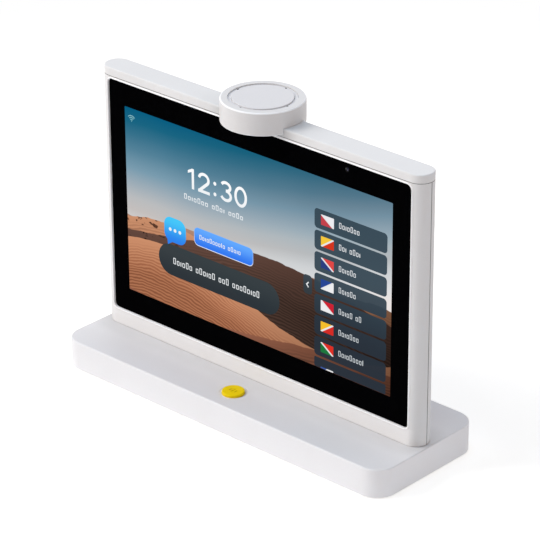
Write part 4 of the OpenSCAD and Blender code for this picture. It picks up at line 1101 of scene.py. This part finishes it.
def add_marks():
    """Letter blocks on the pills, dots in the bubble and the tab's arrow."""
    foot = (PILL[2] + PILL[3]) / 2 - PILL_WORDS_DOWN
    marks = letter_blocks(PILL[0] + PILL_WORDS_IN, foot, PILL_WORDS, *PILL_LETTER)
    foot = (MESSAGE[2] + MESSAGE[3]) / 2 - MESSAGE_WORDS_DOWN
    marks += letter_blocks(MESSAGE[0] + MESSAGE_WORDS_IN, foot, MESSAGE_WORDS, *MESSAGE_LETTER)
    bubble_x, bubble_z = (BUBBLE[0] + BUBBLE[1]) / 2, (BUBBLE[2] + BUBBLE[3]) / 2
    for k in (-1, 0, 1):
        dot = round_outline(bubble_x + k * BUBBLE_DOT_PITCH, bubble_z, BUBBLE_DOT_R, 20)
        marks.append(dot)
    tip_x, tip_z = TAB[0] + ARROW_IN, (TAB[2] + TAB[3]) / 2
    marks.append([(tip_x + x, tip_z + z) for x, z in ARROW])
    white = screen_card("mark_white", tone(232, 236, 238), tone(248, 250, 252), 60, 170)
    on_both_faces("marks", MARK_LEVEL, white, marks)


def add_signal():
    """Three arcs over a dot."""
    bows = [arc(SIGNAL_X, SIGNAL_Z, r, r, 45, 135, 10) for r in SIGNAL_RADII]
    signal = [stroke(bow, SIGNAL_LINE) for bow in bows]
    signal.append(round_outline(SIGNAL_X, SIGNAL_Z + SIGNAL_DOT_UP, SIGNAL_DOT_R, 12))
    mint = screen_card("signal_mint", tone(120, 190, 196), tone(150, 208, 212), 165, 171)
    on_both_faces("signal_mark", CARD_LEVEL, mint, signal)


def shows_background(nodes):
    """1 for rays that show the backdrop: camera, mirror and glass rays."""
    path = nodes.node("ShaderNodeLightPath").outputs
    rays = ("Is Camera Ray", "Is Glossy Ray", "Is Transmission Ray")
    return nodes.most(*[path[ray] for ray in rays])


def make_world():
    """White behind the object, and a soft even light on it."""
    world = bpy.data.worlds.new("studio")
    bpy.context.scene.world = world
    world.use_nodes = True
    world.node_tree.nodes.clear()
    nodes = Nodes(world.node_tree)
    soft = nodes.node("ShaderNodeBackground", {"Color": AMBIENT_COLOUR})
    shown = nodes.node("ShaderNodeBackground", {"Color": WHITE})
    mix = nodes.mix(shows_background(nodes), soft, shown)
    nodes.node("ShaderNodeOutputWorld", {"Surface": mix.outputs[0]})


def floor_material(name):
    """Matt near the object and plain white farther away, clear from below."""
    p = Paint(name)
    shown = shows_background(p)
    grain = p.ramp(p.noise(20, 2), [(0.3, FLOOR_DARK), (0.7, FLOOR_PALE)])
    matt = p.node("ShaderNodeBsdfDiffuse", {"Color": grain})
    away = p.node("ShaderNodeVectorMath", {0: p.place}, operation="LENGTH").outputs["Value"]
    bounce = p.times(p.span(away, BOUNCE_FAR, BOUNCE_NEAR), p.minus(1.0, shown))
    glow = p.plus(p.times(shown, FLOOR_LIFT), bounce)
    glow_colour = p.blend(shown, BOUNCE_COLOUR, LIFT_COLOUR)
    lift = p.node("ShaderNodeEmission", {"Color": glow_colour, "Strength": glow})
    lifted = p.node("ShaderNodeAddShader", {0: matt.outputs[0], 1: lift.outputs[0]})
    plain = p.node("ShaderNodeEmission", {"Strength": 1.0})
    share = p.times(p.span(away, FLOOR_NEAR, FLOOR_FAR), shown)
    clear = p.node("ShaderNodeBsdfTransparent", {"Color": WHITE})
    from_below = p.node("ShaderNodeNewGeometry").outputs["Backfacing"]
    return p.finish_with(p.mix(from_below, p.mix(share, lifted, plain), clear))


def make_floor():
    """Pale floor that keeps the object's shadow."""
    half = FLOOR_SIDE / 2
    front, rear = FLOOR_SHIFT - half, FLOOR_SHIFT + half
    corners = [(-half, front, 0), (half, front, 0), (half, rear, 0), (-half, rear, 0)]
    mesh = bpy.data.meshes.new("floor")
    mesh.from_pydata(corners, [], [(0, 1, 2, 3)])
    mesh.materials.append(floor_material("floor"))
    floor = bpy.data.objects.new("floor", mesh)
    bpy.context.scene.collection.objects.link(floor)


def direction(azimuth, elevation):
    """Unit vector that way in degrees: azimuth 0 is in front, 90 at the right."""
    a, e = math.radians(azimuth), math.radians(elevation)
    return Vector((math.sin(a) * math.cos(e), -math.cos(a) * math.cos(e), math.sin(e)))


def make_lamps():
    """Square soft lamps that look at the object's middle."""
    for name, azimuth, elevation, colour in LAMPS:
        out = direction(azimuth, elevation)
        data = bpy.data.lights.new(name, "AREA")
        data.size = LAMP_SIDE
        data.energy = (math.pi * LAMP_DISTANCE) ** 2
        data.color = colour
        lamp = bpy.data.objects.new(name, data)
        bpy.context.scene.collection.objects.link(lamp)
        lamp.location = VIEW_TARGET + out * LAMP_DISTANCE
        lamp.rotation_mode = "QUATERNION"
        lamp.rotation_quaternion = out.to_track_quat("Z", "Y")


def make_camera():
    """Camera at the photograph's viewing angle."""
    turn, roll = math.radians(VIEW_AZIMUTH), math.radians(VIEW_ROLL)
    back = direction(VIEW_AZIMUTH, VIEW_ELEVATION)
    right = Vector((math.cos(turn), math.sin(turn), 0))
    up = back.cross(right)
    across = right * math.cos(roll) + up * math.sin(roll)
    upward = up * math.cos(roll) - right * math.sin(roll)
    data = bpy.data.cameras.new("camera")
    data.lens = VIEW_LENS
    data.sensor_width = SENSOR
    camera = bpy.data.objects.new("camera", data)
    bpy.context.scene.collection.objects.link(camera)
    axes = Matrix((across, upward, back)).transposed().to_4x4()
    place = VIEW_TARGET + back * VIEW_DISTANCE + across * VIEW_RIGHT + upward * VIEW_UP
    camera.matrix_world = Matrix.Translation(place) @ axes
    bpy.context.scene.camera = camera


make_camera()
make_world()
make_floor()
make_lamps()
dress_nodes()
squash_springs()
add_border()
add_clock()
add_pills()
add_bubble()
add_list()
add_marks()
add_signal()

bpy.context.scene.view_settings.view_transform = "Standard"
